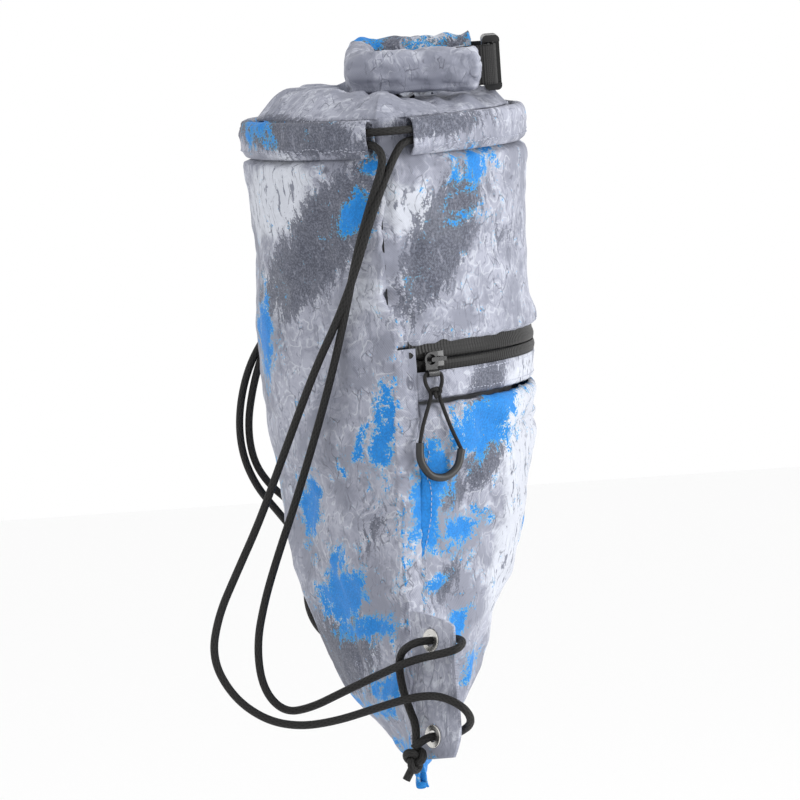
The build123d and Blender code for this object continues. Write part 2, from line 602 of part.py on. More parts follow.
def make_slider():
    _, radius, _ = zip_arc()
    _, _, _, coil_in = zip_depths()
    plate_in, plate_out, bar_in, bar_out = crown_depths()
    half = SLIDER_LENGTH / 2 / radius
    tall = SLIDER_HEIGHT / 2
    inner_out = coil_in - SLIDER_CLEARANCE
    outer_plate = ring_piece(plate_in, plate_out, -tall, tall, -half, half)
    outer_plate = fillet(outer_plate.edges().filter_by(Axis.Z), 0.9)
    inner_plate = ring_piece(inner_out - SLIDER_PLATE, inner_out, -tall, tall, -half, half)
    post_half = 1.5 / radius
    post = ring_piece(inner_out, plate_in, -SLIDER_POST / 2, SLIDER_POST / 2,
                      -post_half, post_half)
    slider = outer_plate + inner_plate + post
    legs = zip_plane(plate_out - 0.3)
    reach = bar_out - plate_out + 0.3
    crown = Part()
    for along in CROWN_REACH:
        crown += extrude(legs * Pos(along, 0) * RectangleRounded(CROWN_LEG, 2.6, 0.7), reach)
    first, last = CROWN_REACH
    bar_face = zip_plane(bar_in) * Pos((first + last) / 2, 0) * RectangleRounded(
        last - first + CROWN_LEG, 2.6, 0.7)
    write("zip_slider", on_zip(slider + crown + extrude(bar_face, CROWN_BAR)))


def make_puller():
    _, plate_out, _, _ = crown_depths()
    eye_at = CROWN_REACH[0]
    rim = PULLER_EYE + PULLER_RIM
    back = plate_out + (CROWN_HEIGHT - PULLER_THICKNESS) / 2
    plane = zip_plane(back)
    outline = Pos(eye_at, 0) * Circle(rim) + Pos(eye_at, -PULLER_DROP / 2) * Rectangle(
        2 * rim - 0.8, PULLER_DROP)
    plate = extrude(plane * (outline - Pos(eye_at, 0) * Circle(PULLER_EYE)), PULLER_THICKNESS)
    bore = PULL_CORD / 2 + PULL_CORD_CLEARANCE
    centre, radius, _ = zip_arc()
    place = Pos(centre + radius + PULL_OUT, eye_at, ZIP_HEIGHT - PULLER_DROP) * Rot(90, 0, 0)
    barrel = place * Cylinder(bore + BARREL_WALL, BARREL_LENGTH)
    hole = place * Cylinder(bore, 4 * BARREL_LENGTH)
    write("zip_puller", on_zip(plate + barrel - hole))


def corner_radii(points):
    """Fillet radius for each inner point: 0.45 of the shorter run over the half turn's tangent."""
    spots = [Vector(*p) for p in points]
    radii = []
    for before, here, after in zip(spots, spots[1:], spots[2:]):
        run_in = here - before
        run_out = after - here
        turn = radians(run_in.get_angle(run_out))
        radii.append(0.45 * min(run_in.length, run_out.length) / tan(turn / 2))
    return radii


def cord_tube(name, points, diameter):
    """Round cord along straight runs and tangent arcs; reports its length and tightest bend."""
    radii = corner_radii(points)
    path = FilletPolyline(*points, radius=radii)
    tube = sweep(Plane(origin=path @ 0, z_dir=path % 0) * Circle(diameter / 2), path)
    section = pi * diameter**2 / 4
    print(f"{name}: length {path.length:.0f}, tightest radius {min(radii):.1f}, "
          f"volume / (section x length) {tube.volume / (section * path.length):.3f}")
    print("   radii " + " ".join(f"{r:.0f}" for r in radii))
    return tube


def from_eye(points):
    """Pull-loop points, along and up from the puller's hole, as points in space."""
    centre, radius, _ = zip_arc()
    lean = tan(radians(PULL_TILT))
    return [(centre + radius + PULL_OUT - lean * (up + PULLER_DROP), CROWN_REACH[0] + along,
             ZIP_HEIGHT + up) for along, up in points]


def make_pull_loop():
    cord = cord_tube("zip_pull_cord", from_eye(PULL_LOOP), PULL_CORD)
    write("zip_pull_cord", on_zip(cord))
    grip_points = from_eye(GRIP_LINE)
    grip_path = FilletPolyline(*grip_points, radius=corner_radii(grip_points))
    grip = sweep(Plane(origin=grip_path @ 0, z_dir=grip_path % 0) * Circle(GRIP / 2), grip_path)
    write("zip_pull_grip", on_zip(grip))
    knot = scale(Sphere(1), by=PULL_KNOT)
    out, up = PULL_KNOT_AT
    place = Pos(*from_eye([(0, up)])[0]) * Pos(out, 0, 0)
    write("zip_pull_knot", on_zip(place * knot))


# --- Corner tabs ----------------------------------------------------------------------------
def tab_plane():
    """Plane of the left tab: x from the side seam outwards, z out of its seen face."""
    outward = Vector(sin(radians(TAB_TURN)), -cos(radians(TAB_TURN)), 0)
    ends = [Vector(SEAM_X, -half_chord(z), z) for z in (TAB_LOW, TAB_HIGH)]
    up = (ends[1] - ends[0]).normalized()
    face = up.cross(outward).normalized() * -1
    return Plane(origin=ends[0], x_dir=outward, z_dir=face), ends


def make_tabs():
    plane, ends = tab_plane()
    stand_off = TAB_THICKNESS
    foot = plane.to_local_coords(ends[0])
    head = plane.to_local_coords(ends[1])
    outline = Polyline(
        (foot.X + stand_off, foot.Y), (foot.X + TAB_WIDTH * 0.8, foot.Y),
        (foot.X + TAB_WIDTH, foot.Y + 0.2 * (head.Y - foot.Y)),
        (head.X + TAB_WIDTH, head.Y * 0.86 + foot.Y * 0.14), (head.X + stand_off, head.Y),
        close=True)
    flap = extrude(plane * make_face(outline), TAB_THICKNESS / 2, both=True)
    tube_out = EYELET_BORE / 2 + EYELET_TUBE
    eyelets = Part()
    washers = Part()
    for height, inset in zip(EYELET_HEIGHTS, EYELET_INSETS):
        seam = Vector(SEAM_X, -half_chord(height), height)
        spot = plane.to_local_coords(seam) + Vector(inset, 0, 0)
        at = plane * Pos(spot.X, spot.Y, 0)
        flap -= at * Cylinder(tube_out + EYELET_CLEARANCE, 4 * TAB_THICKNESS)
        bore = at * Cylinder(EYELET_BORE / 2, 40)
        rim = at * Pos(0, 0, TAB_THICKNESS / 2 + EYELET_RIM / 2) * Cylinder(
            EYELET_FLANGE / 2, EYELET_RIM)
        rim = fillet(rim.edges().filter_by(GeomType.CIRCLE).sort_by(
            Axis(plane.origin, plane.z_dir))[-1], EYELET_RIM * 0.7)
        tube = at * Cylinder(tube_out, TAB_THICKNESS + 2 * EYELET_RIM)
        eyelets += (rim + tube) - bore
        washer = at * Pos(0, 0, -TAB_THICKNESS / 2 - EYELET_RIM / 2) * (
            Cylinder(EYELET_FLANGE / 2, EYELET_RIM)
            - Cylinder(tube_out + EYELET_CLEARANCE, 4 * EYELET_RIM))
        washers += washer
    for name, shape in (("corner_tab", flap), ("eyelets", eyelets), ("eyelet_washers", washers)):
        write(name + "_left", shape)
        write(name + "_right", mirrored(shape))


# --- Drawcords ------------------------------------------------------------------------------
def make_knot():
    """A drawcord's knot with its short sealed end."""
    x, y, z = KNOT_AT
    length, extra, turn = KNOT_TAIL
    ball = Pos(x, -y, z) * scale(Sphere(1), by=KNOT)
    tail = Pos(x, -y, z) * Rot(0, turn, 0) * Pos(0, 0, length / 2) * Cylinder(
        DRAWCORD / 2 + extra, length)
    return ball + tail


def make_drawcords():
    write("drawcord_left", cord_tube("drawcord_left", LEFT_DRAWCORD, DRAWCORD), lowered=False)
    write("drawcord_right", cord_tube("drawcord_right", RIGHT_DRAWCORD, DRAWCORD),
          lowered=False)
    knot = make_knot()
    write("drawcord_knot_left", knot, lowered=False)
    write("drawcord_knot_right", mirrored(knot), lowered=False)


os.makedirs("parts", exist_ok=True)
make_panels()
make_hem_and_seams()
make_channels()
make_collar()
make_roll()
make_buckle()
make_zip()
make_slider()
make_puller()
make_pull_loop()
make_tabs()
make_drawcords()
zip_centre, zip_radius, zip_half_angle = zip_arc()
print(f"zip centre x {zip_centre:.3f}, radius {zip_radius:.3f}, "
      f"half angle {degrees(zip_half_angle):.2f}, slider rests at "
      f"{degrees(slider_angle()):.3f}; hang height {HANG_HEIGHT:.1f}")
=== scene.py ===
# %% [markdown]
# # A roll-top drawstring backpack
#
# A small printed backpack, stuffed full, with its top rolled down and buckled into a ring.
# The rigid frame below already says where every part sits and how it moves. Each step here
# puts one real piece around that frame: woven fabric, braided cord, webbing, zip and metal.
# All sizes are metres, +Z is up, +X is the zipped front and -Y is the wearer's left side.

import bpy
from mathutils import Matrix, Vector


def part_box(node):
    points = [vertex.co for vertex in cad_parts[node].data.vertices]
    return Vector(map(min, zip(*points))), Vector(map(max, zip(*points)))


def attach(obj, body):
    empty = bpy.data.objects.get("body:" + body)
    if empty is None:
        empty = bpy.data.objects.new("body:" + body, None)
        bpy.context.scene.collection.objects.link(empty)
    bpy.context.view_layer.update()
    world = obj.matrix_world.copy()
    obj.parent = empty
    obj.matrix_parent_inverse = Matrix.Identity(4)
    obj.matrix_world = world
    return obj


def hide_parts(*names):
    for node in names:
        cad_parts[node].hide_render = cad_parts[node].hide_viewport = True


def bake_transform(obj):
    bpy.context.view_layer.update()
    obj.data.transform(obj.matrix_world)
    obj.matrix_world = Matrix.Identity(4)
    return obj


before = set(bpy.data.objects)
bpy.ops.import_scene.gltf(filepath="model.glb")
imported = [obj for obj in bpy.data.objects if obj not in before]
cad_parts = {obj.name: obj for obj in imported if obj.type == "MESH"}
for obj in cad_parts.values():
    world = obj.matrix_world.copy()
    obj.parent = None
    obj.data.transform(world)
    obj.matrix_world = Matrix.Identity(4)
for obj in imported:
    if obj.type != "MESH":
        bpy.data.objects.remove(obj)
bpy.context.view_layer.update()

# %% [markdown]
# Numpy carries the arithmetic on thousands of points, bpy and bmesh make the meshes, and
# mathutils gives vectors and a noise that is the same on every run.

# %% Modules
import math

import bmesh
import bpy
import numpy as np
from mathutils import Matrix, Vector, noise
from mathutils.bvhtree import BVHTree

scene = bpy.context.scene
print("Blender", bpy.app.version_string)

# %% [markdown]
# ## Camera
#
# A bag is best judged through a long lens from several metres away, where its edges stay
# nearly parallel. A short lens close up would swell the near side. The camera looks at the
# bag's left side from a little above, and is turned slightly about its own axis, because the
# hanging bag leans.

# %% Camera
VIEW_TILT = math.radians(5.3)
LEAN = 0.068
PICTURE_WIDTH = 0.496
CAMERA_DISTANCE = 3.2
SENSOR = 36.0
look_at = Vector((-0.0023, -0.11, -0.2019))

level_up = Vector((0, math.sin(VIEW_TILT), math.cos(VIEW_TILT)))
towards_camera = Vector((0, -math.cos(VIEW_TILT), math.sin(VIEW_TILT)))
picture_right = (Vector((1, 0, 0)) - LEAN * level_up).normalized()
picture_up = towards_camera.cross(picture_right).normalized()
camera = bpy.data.objects.new("camera", bpy.data.cameras.new("camera"))
scene.collection.objects.link(camera)
camera.data.sensor_width = SENSOR
camera.data.lens = SENSOR * CAMERA_DISTANCE / PICTURE_WIDTH
camera.data.clip_end = 20
turned = Matrix((picture_right, picture_up, towards_camera)).transposed()
camera.matrix_world = (Matrix.Translation(look_at + towards_camera * CAMERA_DISTANCE)
                       @ turned.to_4x4())
scene.camera = camera
print("lens", round(camera.data.lens), "mm")

# %% [markdown]
# ## Tools of the workshop
#
# Almost every soft piece here is a grid of points: rows up the cloth, columns across it. One
# helper turns such a grid into a mesh with a UV map in metres, so that a weave printed on the
# UV keeps its real size wherever the cloth goes.

# %% Meshes from grids
def finish_mesh(name, points, faces, uv=None):
    """A linked, smooth-shaded object; uv gives one pair for each point."""
    mesh = bpy.data.meshes.new(name)
    mesh.from_pydata([tuple(p) for p in points], [], faces)
    mesh.validate()
    if uv is not None:
        layer = mesh.uv_layers.new(name="cloth")
        corner_points = np.zeros(len(mesh.loops), np.int32)
        mesh.loops.foreach_get("vertex_index", corner_points)
        layer.data.foreach_set("uv", np.asarray(uv, np.float32)[corner_points].ravel())
    mesh.shade_smooth()
    piece = bpy.data.objects.new(name, mesh)
    scene.collection.objects.link(piece)
    return piece


def grid_faces(rows, columns, closed=False, flip=False):
    """Quads of a grid stored row by row; closed joins the last column to the first."""
    faces = []
    for row in range(rows - 1):
        for column in range(columns if closed else columns - 1):
            a = row * columns + column
            b = row * columns + (column + 1) % columns
            quad = (a, b, b + columns, a + columns)
            faces.append(quad[::-1] if flip else quad)
    return faces


def vertex_array(piece):
    flat = np.zeros(len(piece.data.vertices) * 3)
    piece.data.vertices.foreach_get("co", flat)
    return flat.reshape(-1, 3)


def baked(piece):
    """Applies a piece's modifiers, so that it is a plain mesh."""
    bpy.context.view_layer.update()
    graph = bpy.context.evaluated_depsgraph_get()
    mesh = bpy.data.meshes.new_from_object(piece.evaluated_get(graph))
    piece.modifiers.clear()
    piece.data = mesh
    piece.data.name = piece.name
    return piece


def thicken(piece, thickness, offset=-1.0, bevel=0.0):
    wall = piece.modifiers.new("wall", "SOLIDIFY")
    wall.thickness = thickness
    wall.offset = offset
    if bevel:
        rounding = piece.modifiers.new("rounding", "BEVEL")
        rounding.width = bevel
        rounding.segments = 2
        rounding.limit_method = "ANGLE"
    return baked(piece)


def squared(value, power):
    """A sine or cosine raised to a power with its sign kept; below 1 a circle turns squarer."""
    return math.copysign(abs(value) ** power, value)


def ripple(points, size, seed=0.0):
    """Smooth noise from -1 to 1 for each point; size is the distance between its bumps."""
    return np.array([noise.noise(Vector(p) / size + Vector((seed, 2 * seed, 0)))
                     for p in points])


print("grid tools ready")

# %% [markdown]
# A shader is a small graph of nodes. Two helpers keep the code short: one adds a node and
# fills its inputs with numbers or with other nodes' outputs, the other does arithmetic.

# %% Shader tools
def add(tree, kind, values=None, **settings):
    made = tree.nodes.new(kind)
    for key, value in settings.items():
        setattr(made, key, value)
    for key, value in (values or {}).items():
        if isinstance(value, bpy.types.NodeSocket):
            tree.links.new(value, made.inputs[key])
        else:
            made.inputs[key].default_value = value
    return made


def sums(tree, operation, first, second=0.0, third=0.0):
    node = add(tree, "ShaderNodeMath", {0: first, 1: second, 2: third}, operation=operation)
    return node.outputs[0]


def times(tree, first, second):
    return sums(tree, "MULTIPLY", first, second)


def plus(tree, first, second):
    return sums(tree, "ADD", first, second)


def swing(tree, value, amount):
    """A noise from 0 to 1 moved to swing about zero by half the amount each way."""
    return times(tree, sums(tree, "SUBTRACT", value, 0.5), amount)


def inverse(tree, value):
    return sums(tree, "SUBTRACT", 1.0, value)


def step(tree, value, low, high):
    """0 below low, 1 above high, smooth between."""
    node = add(tree, "ShaderNodeMapRange", {0: value, 1: low, 2: high},
               interpolation_type="SMOOTHSTEP")
    return node.outputs[0]


def blend_colour(tree, share, first, second, mode="MIX"):
    node = add(tree, "ShaderNodeMix", {0: share, 6: first, 7: second},
               data_type="RGBA", blend_type=mode)
    return node.outputs[2]


def grey_noise(tree, where, scale, detail=4.0, roughness=0.6, distortion=0.0):
    node = add(tree, "ShaderNodeTexNoise", {
        "Vector": where, "Scale": scale, "Detail": detail, "Roughness": roughness,
        "Distortion": distortion})
    return node.outputs["Fac"]


def new_material(name, base, roughness, metallic=0.0, coat=0.0, sheen=0.0):
    """A material with its Principled shader; returns the material, its tree and that shader."""
    material = bpy.data.materials.new(name)
    material.use_nodes = True
    shader = material.node_tree.nodes["Principled BSDF"]
    shader.inputs["Base Color"].default_value = (*base, 1)
    shader.inputs["Roughness"].default_value = roughness
    shader.inputs["Metallic"].default_value = metallic
    shader.inputs["Coat Weight"].default_value = coat
    shader.inputs["Sheen Weight"].default_value = sheen
    return material, material.node_tree, shader


def emboss(tree, shader, height, strength, distance):
    bump = add(tree, "ShaderNodeBump", {
        "Height": height, "Strength": strength, "Distance": distance})
    tree.links.new(bump.outputs[0], shader.inputs["Normal"])


print("shader tools ready")

# %% [markdown]
# ## Drawcords
#
# Each drawcord is one long braided cord. It starts in a knot at a corner tab, goes up as a
# shoulder strap, runs through both channels round the bag's mouth and comes back down beside
# itself. A free cord hangs in smooth curves, so its line is a NURBS spline whose control
# points are the route. The braid needs a tube with a UV map along its length, so a mesh tube
# follows points read from that spline.

# %% Cord routes
# Both cords share these three stretches, written for the left one.
FROM_KNOT = (
    (-0.007, -0.181, -0.408), (-0.0055, -0.176, -0.397), (-0.009, -0.168, -0.3875),
    (-0.0125, -0.163, -0.376), (-0.014, -0.1615, -0.3635), (-0.013, -0.1655, -0.3525),
    (-0.0065, -0.1738, -0.346), (0.0013, -0.1746, -0.3441), (0.0135, -0.1644, -0.3459),
    (0.0215, -0.169, -0.3445), (0.0265, -0.181, -0.345), (0.023, -0.1925, -0.348),
    (0.012, -0.188, -0.351), (0, -0.1775, -0.354))
MOUTH_RUN = (
    (-0.027, -0.1312), (-0.0556, -0.1021), (-0.0775, -0.0642), (-0.0889, -0.0219),
    (-0.0889, 0.0219), (-0.0775, 0.0642), (-0.0556, 0.1021), (-0.027, 0.1312), (-0.0125, 0.142),
    (0.0035, 0.142), (0.0249, 0.1265), (0.0544, 0.097), (0.0752, 0.061), (0.0859, 0.0208),
    (0.0859, -0.0208), (0.0752, -0.061), (0.0544, -0.097), (0.0255, -0.1263), (0.0105, -0.135))
TO_KNOT = (
    (-0.012, -0.18, -0.3785), (0.002, -0.183, -0.3765), (0.013, -0.193, -0.377),
    (0.025, -0.201, -0.3835), (0.0285, -0.192, -0.394), (0.02, -0.177, -0.402),
    (0.0111, -0.1713, -0.4039), (-0.0011, -0.1815, -0.4021), (-0.0085, -0.184, -0.4085))
# Up to the mouth and down again each strap hangs in its own way.
LEFT_UP = (
    (-0.013, -0.1705, -0.3585), (-0.03, -0.161, -0.3665), (-0.05, -0.151, -0.376),
    (-0.07, -0.143, -0.3855), (-0.087, -0.135, -0.3885), (-0.0995, -0.126, -0.374),
    (-0.1015, -0.116, -0.348), (-0.095, -0.108, -0.322), (-0.085, -0.103, -0.295),
    (-0.073, -0.101, -0.266), (-0.061, -0.104, -0.234), (-0.05, -0.111, -0.203),
    (-0.04, -0.119, -0.172), (-0.031, -0.127, -0.14), (-0.023, -0.134, -0.109),
    (-0.013, -0.141, -0.079), (-0.0045, -0.145, -0.059), (-0.0025, -0.146, -0.047),
    (-0.0095, -0.1423, -0.0405))
LEFT_DOWN = (
    (0.0045, -0.141, -0.049), (-0.003, -0.1435, -0.064), (-0.014, -0.141, -0.09),
    (-0.024, -0.1345, -0.118), (-0.036, -0.126, -0.146), (-0.052, -0.115, -0.176),
    (-0.066, -0.107, -0.207), (-0.08, -0.1025, -0.239), (-0.095, -0.104, -0.273),
    (-0.111, -0.109, -0.303), (-0.124, -0.117, -0.328), (-0.1295, -0.127, -0.353),
    (-0.118, -0.137, -0.376), (-0.099, -0.1455, -0.3905), (-0.078, -0.1535, -0.395),
    (-0.055, -0.161, -0.392), (-0.032, -0.1695, -0.385))
RIGHT_UP = (
    (-0.013, 0.171, -0.359), (-0.029, 0.165, -0.368), (-0.045, 0.158, -0.376),
    (-0.058, 0.149, -0.371), (-0.063, 0.139, -0.352), (-0.062, 0.13, -0.328),
    (-0.068, 0.12, -0.304), (-0.08, 0.113, -0.285), (-0.093, 0.107, -0.272),
    (-0.102, 0.103, -0.255), (-0.104, 0.1, -0.232), (-0.099, 0.099, -0.207),
    (-0.091, 0.102, -0.184), (-0.078, 0.108, -0.164), (-0.061, 0.117, -0.145),
    (-0.043, 0.127, -0.125), (-0.027, 0.136, -0.105), (-0.015, 0.143, -0.083),
    (-0.0085, 0.148, -0.06), (-0.006, 0.1515, -0.0455), (-0.005, 0.15, -0.036),
    (-0.0085, 0.1426, -0.034))
RIGHT_DOWN = (
    (0.0065, 0.145, -0.0345), (0.003, 0.1495, -0.041), (0.0005, 0.149, -0.053),
    (-0.006, 0.1475, -0.074), (-0.019, 0.141, -0.098), (-0.035, 0.133, -0.121),
    (-0.052, 0.123, -0.14), (-0.07, 0.113, -0.155), (-0.088, 0.105, -0.172),
    (-0.102, 0.1, -0.195), (-0.1095, 0.0985, -0.224), (-0.109, 0.1, -0.25),
    (-0.101, 0.104, -0.273), (-0.088, 0.109, -0.291), (-0.075, 0.117, -0.311),
    (-0.072, 0.128, -0.336), (-0.074, 0.139, -0.362), (-0.064, 0.15, -0.382),
    (-0.047, 0.159, -0.391), (-0.029, 0.169, -0.386))


def drawcord_route(side, level, up, down):
    """All the route points; side is 1 for left and -1 for right, level the run's height."""
    shared = [FROM_KNOT, [(x, y, level) for x, y in MOUTH_RUN], TO_KNOT]
    first, run, last = ([(x, side * y, z) for x, y, z in part] for part in shared)
    return (*first, *up, *run, *down, *last)


LEFT_DRAWCORD = drawcord_route(1, -0.0405, LEFT_UP, LEFT_DOWN)
RIGHT_DRAWCORD = drawcord_route(-1, -0.034, RIGHT_UP, RIGHT_DOWN)
DRAWCORD = 0.005
print(len(LEFT_DRAWCORD), "and", len(RIGHT_DRAWCORD), "route points")


# %% Smooth line of a cord
def smooth_line(name, route):
    """Points along the NURBS spline that has the route as its control points."""
    curve = bpy.data.curves.new(name, "CURVE")
    curve.dimensions = "3D"
    spline = curve.splines.new("NURBS")
    spline.points.add(len(route) - 1)
    for point, spot in zip(spline.points, route):
        point.co = (*spot, 1)
    spline.order_u = 3
    spline.use_endpoint_u = True
    spline.resolution_u = 12
    holder = bpy.data.objects.new(name, curve)
    scene.collection.objects.link(holder)
    bpy.context.view_layer.update()
    graph = bpy.context.evaluated_depsgraph_get()
    mesh = bpy.data.meshes.new_from_object(holder.evaluated_get(graph))
    line = np.array([v.co for v in mesh.vertices])
    bpy.data.objects.remove(holder)
    bpy.data.meshes.remove(mesh)
    bpy.data.curves.remove(curve)
    return line


def evenly(line, spacing):
    """The same line with its points evenly spaced."""
    runs = np.linalg.norm(np.diff(line, axis=0), axis=1)
    keep = np.concatenate(([True], runs > 1e-7))
    line = line[keep]
    along = np.concatenate(([0], np.cumsum(np.linalg.norm(np.diff(line, axis=0), axis=1))))
    marks = np.linspace(0, along[-1], max(2, round(along[-1] / spacing) + 1))
    return np.column_stack([np.interp(marks, along, line[:, axis]) for axis in range(3)])


def frames_along(line):
    """Two directions across the line at each point, turning as little as possible."""
    ahead = np.gradient(line, axis=0)
    ahead /= np.linalg.norm(ahead, axis=1)[:, None]
    side = np.cross(ahead[0], (0.3, 0.2, 0.93))
    sides = []
    for direction in ahead:
        side = side - direction * np.dot(side, direction)
        side = side / np.linalg.norm(side)
        sides.append(side)
    sides = np.array(sides)
    return sides, np.cross(ahead, sides)


def tube(name, line, radius, around=14, spacing=0.0015):
    """A closed tube; its UV runs once round and along in circumferences."""
    line = evenly(line, spacing)
    first, second = frames_along(line)
    angles = np.linspace(0, 2 * math.pi, around + 1)
    radii = np.broadcast_to(radius, len(line)) if np.isscalar(radius) else np.interp(
        np.linspace(0, 1, len(line)), np.linspace(0, 1, len(radius)), radius)
    ring = (first[:, None] * np.cos(angles)[None, :, None]
            + second[:, None] * np.sin(angles)[None, :, None])
    points = (line[:, None] + ring * radii[:, None, None]).reshape(-1, 3)
    along = np.arange(len(line)) * spacing / (2 * math.pi * radii.mean())
    uv = np.stack(np.meshgrid(angles / (2 * math.pi), along), axis=-1).reshape(-1, 2)
    faces = grid_faces(len(line), around + 1)
    last = (len(line) - 1) * (around + 1)
    faces.append(tuple(range(around))[::-1])
    faces.append(tuple(last + k for k in range(around)))
    piece = finish_mesh(name, points, faces, uv)
    shape = bmesh.new()
    shape.from_mesh(piece.data)
    bmesh.ops.remove_doubles(shape, verts=shape.verts, dist=1e-6)
    bmesh.ops.recalc_face_normals(shape, faces=shape.faces)
    shape.to_mesh(piece.data)
    shape.free()
    return piece, line


drawcords = {}
for side, route in (("left", LEFT_DRAWCORD), ("right", RIGHT_DRAWCORD)):
    piece, line = tube(f"drawcord_{side}_braid", smooth_line("route", route), DRAWCORD / 2)
    drawcords[side] = piece
    length = np.linalg.norm(np.diff(line, axis=0), axis=1).sum()
    print(side, "drawcord", round(length, 3), "m,", len(piece.data.polygons), "faces")


# %% [markdown]
# ## The stuffed bag
#
# The bag is two flat pieces of cloth sewn at the sides and along the bottom, then stuffed.
# Each height of it is therefore two circular arcs that meet in the side seams, and the
# farther the cloth bulges, the closer the seams come together. That rule gives every panel
# its starting shape. A lofted shell like this is smooth, so the wrinkles come next.

# %% Section of the bag at any height
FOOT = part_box("back_panel")[0].z
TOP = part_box("back_panel")[1].z - FOOT
SEAM_X = -0.006
PANEL_WIDTH = 0.335
BULGES = np.array((            # height above the corners, bulge of the back and of the front
    (0.0, 0.004, 0.004), (0.012, 0.0155, 0.0165), (0.027, 0.028, 0.0295),
    (0.048, 0.0435, 0.0405), (0.075, 0.056, 0.051), (0.105, 0.0645, 0.062),
    (0.137, 0.070, 0.072), (0.205, 0.078, 0.085), (0.243, 0.0825, 0.0925),
    (0.275, 0.083, 0.0925), (0.3255, 0.0797, 0.0905), (0.376, 0.077, 0.086),
    (0.410, 0.077, 0.086)))
SMOOTHING = np.array((-0.009, -0.0045, 0.0, 0.0045, 0.009))
# The side seams wander: height, shift towards the front.
SEAM_WANDER = np.array((
    (0.0, 0.002), (0.05, -0.001), (0.115, -0.0025), (0.2, 0.001), (0.265, 0.003),
    (0.287, 0.004), (0.299, -0.003), (0.33, -0.003), (0.37, 0.0), (0.41, 0.002)))


def bulge(height, side):
    column = 2 if side > 0 else 1
    near = np.clip(height + SMOOTHING * min(1, height / 0.012), 0, TOP)
    return float(np.interp(near, BULGES[:, 0], BULGES[:, column]).mean())


def half_chord(height):
    """Half the straight distance between the side seams."""
    depth = (bulge(height, 1) + bulge(height, -1)) / 2
    half = PANEL_WIDTH / 2
    for _ in range(30):
        radius = (half**2 + depth**2) / (2 * depth)
        half *= PANEL_WIDTH / (2 * radius * math.atan2(half, radius - depth))
    return half


def skin(side, share, height, depth=0.0):
    """Point of the cloth; share goes from 0 at the left seam to 1 at the right seam."""
    half, deep = half_chord(height), bulge(height, side)
    radius = (half**2 + deep**2) / (2 * deep)
    limit = math.atan2(half, radius - deep)
    angle = (2 * share - 1) * limit
    reach = radius - depth
    wander = float(np.interp(height, SEAM_WANDER[:, 0], SEAM_WANDER[:, 1]))
    near_seam = max(0.0, 1 - 5.5 * min(share, 1 - share)) ** 2
    return np.array((SEAM_X + side * (deep - radius + reach * math.cos(angle))
                     + wander * near_seam, reach * math.sin(angle), FOOT + height))


print("bag stands", round(TOP, 3), "m high; seams", round(2 * half_chord(0.26), 3),
      "m apart at the zip")

# %% [markdown]
# The rows of the grid land on the lines that are sewn: the hem, the zip and its two edges,
# and the channels. The columns land on the pocket's side stitching.

# %% Grid of the bag
COLUMNS = 67                   # across each panel
STRIP = 3                      # columns of the side strip, about 15 mm
ZIP_LOW, ZIP_HIGH = 0.2515, 0.2665
BAND_LOW = 0.2335
CHANNEL_LOW = 0.386
key_heights = (0.0, BAND_LOW, ZIP_LOW, ZIP_HIGH, CHANNEL_LOW, TOP)
row_counts = (46, 4, 3, 24, 5)
heights = [0.0]
for low, high, count in zip(key_heights, key_heights[1:], row_counts):
    heights += list(np.linspace(low, high, count + 1)[1:])
heights = np.array(heights)
row_of = {key: int(np.argmin(abs(heights - key))) for key in key_heights}
around = 2 * COLUMNS
shell = np.array([
    skin(1, c / COLUMNS, h) if c <= COLUMNS else skin(-1, (around - c) / COLUMNS, h)
    for h in heights for c in range(around)])
print(len(heights), "rows of", around, "points")

# %% [markdown]
# Stuffing does two things to sewn cloth: it pushes the free cloth outwards and it leaves
# the seams where they are, so that puckers run out from every stitched line. The shell is
# therefore given to Blender's cloth solver with air pressure inside it, cloth cut slightly
# larger than its place, and its sewn lines pinned. A limit keeps every point near its start.

# %% Stuff the bag
CLOTH_ALLOWANCE = 0.03
STUFFING_FRAMES = 22
FURTHEST_MOVE = 0.0075


def pinned_share(row, column):
    """How firmly the stitching holds a point, from 0 to 1."""
    height = heights[row]
    on_front = column <= COLUMNS
    across = column if on_front else around - column
    from_seam = min(across, COLUMNS - across)
    if from_seam == 0 or height >= CHANNEL_LOW - 0.001 or height < 0.004:
        return 1.0
    if on_front and BAND_LOW - 0.001 <= height <= ZIP_HIGH + 0.001:
        return 1.0
    if on_front and from_seam == STRIP and height < ZIP_LOW:
        return 0.6
    return 0.0


def stuff(points):
    sack = finish_mesh("stuffing", points, grid_faces(len(heights), around, closed=True))
    group = sack.vertex_groups.new(name="sewn")
    for row in range(len(heights)):
        for column in range(around):
            share = pinned_share(row, column)
            if share:
                group.add([row * around + column], share, "REPLACE")
    cloth = sack.modifiers.new("stuffing", "CLOTH")
    rules = cloth.settings
    rules.quality = 6
    rules.mass = 0.2
    rules.tension_stiffness = 30
    rules.compression_stiffness = 30
    rules.shear_stiffness = 8
    rules.bending_stiffness = 0.4
    rules.shrink_min = -CLOTH_ALLOWANCE
    rules.use_pressure = True
    rules.uniform_pressure_force = 2.5
    rules.effector_weights.gravity = 0
    rules.vertex_group_mass = "sewn"
    cloth.point_cache.frame_start = 1
    cloth.point_cache.frame_end = STUFFING_FRAMES
    for number in range(1, STUFFING_FRAMES + 1):
        scene.frame_set(number)
    graph = bpy.context.evaluated_depsgraph_get()
    stuffed = np.array([v.co for v in sack.evaluated_get(graph).data.vertices])
    scene.frame_set(1)
    bpy.data.objects.remove(sack)
    return stuffed


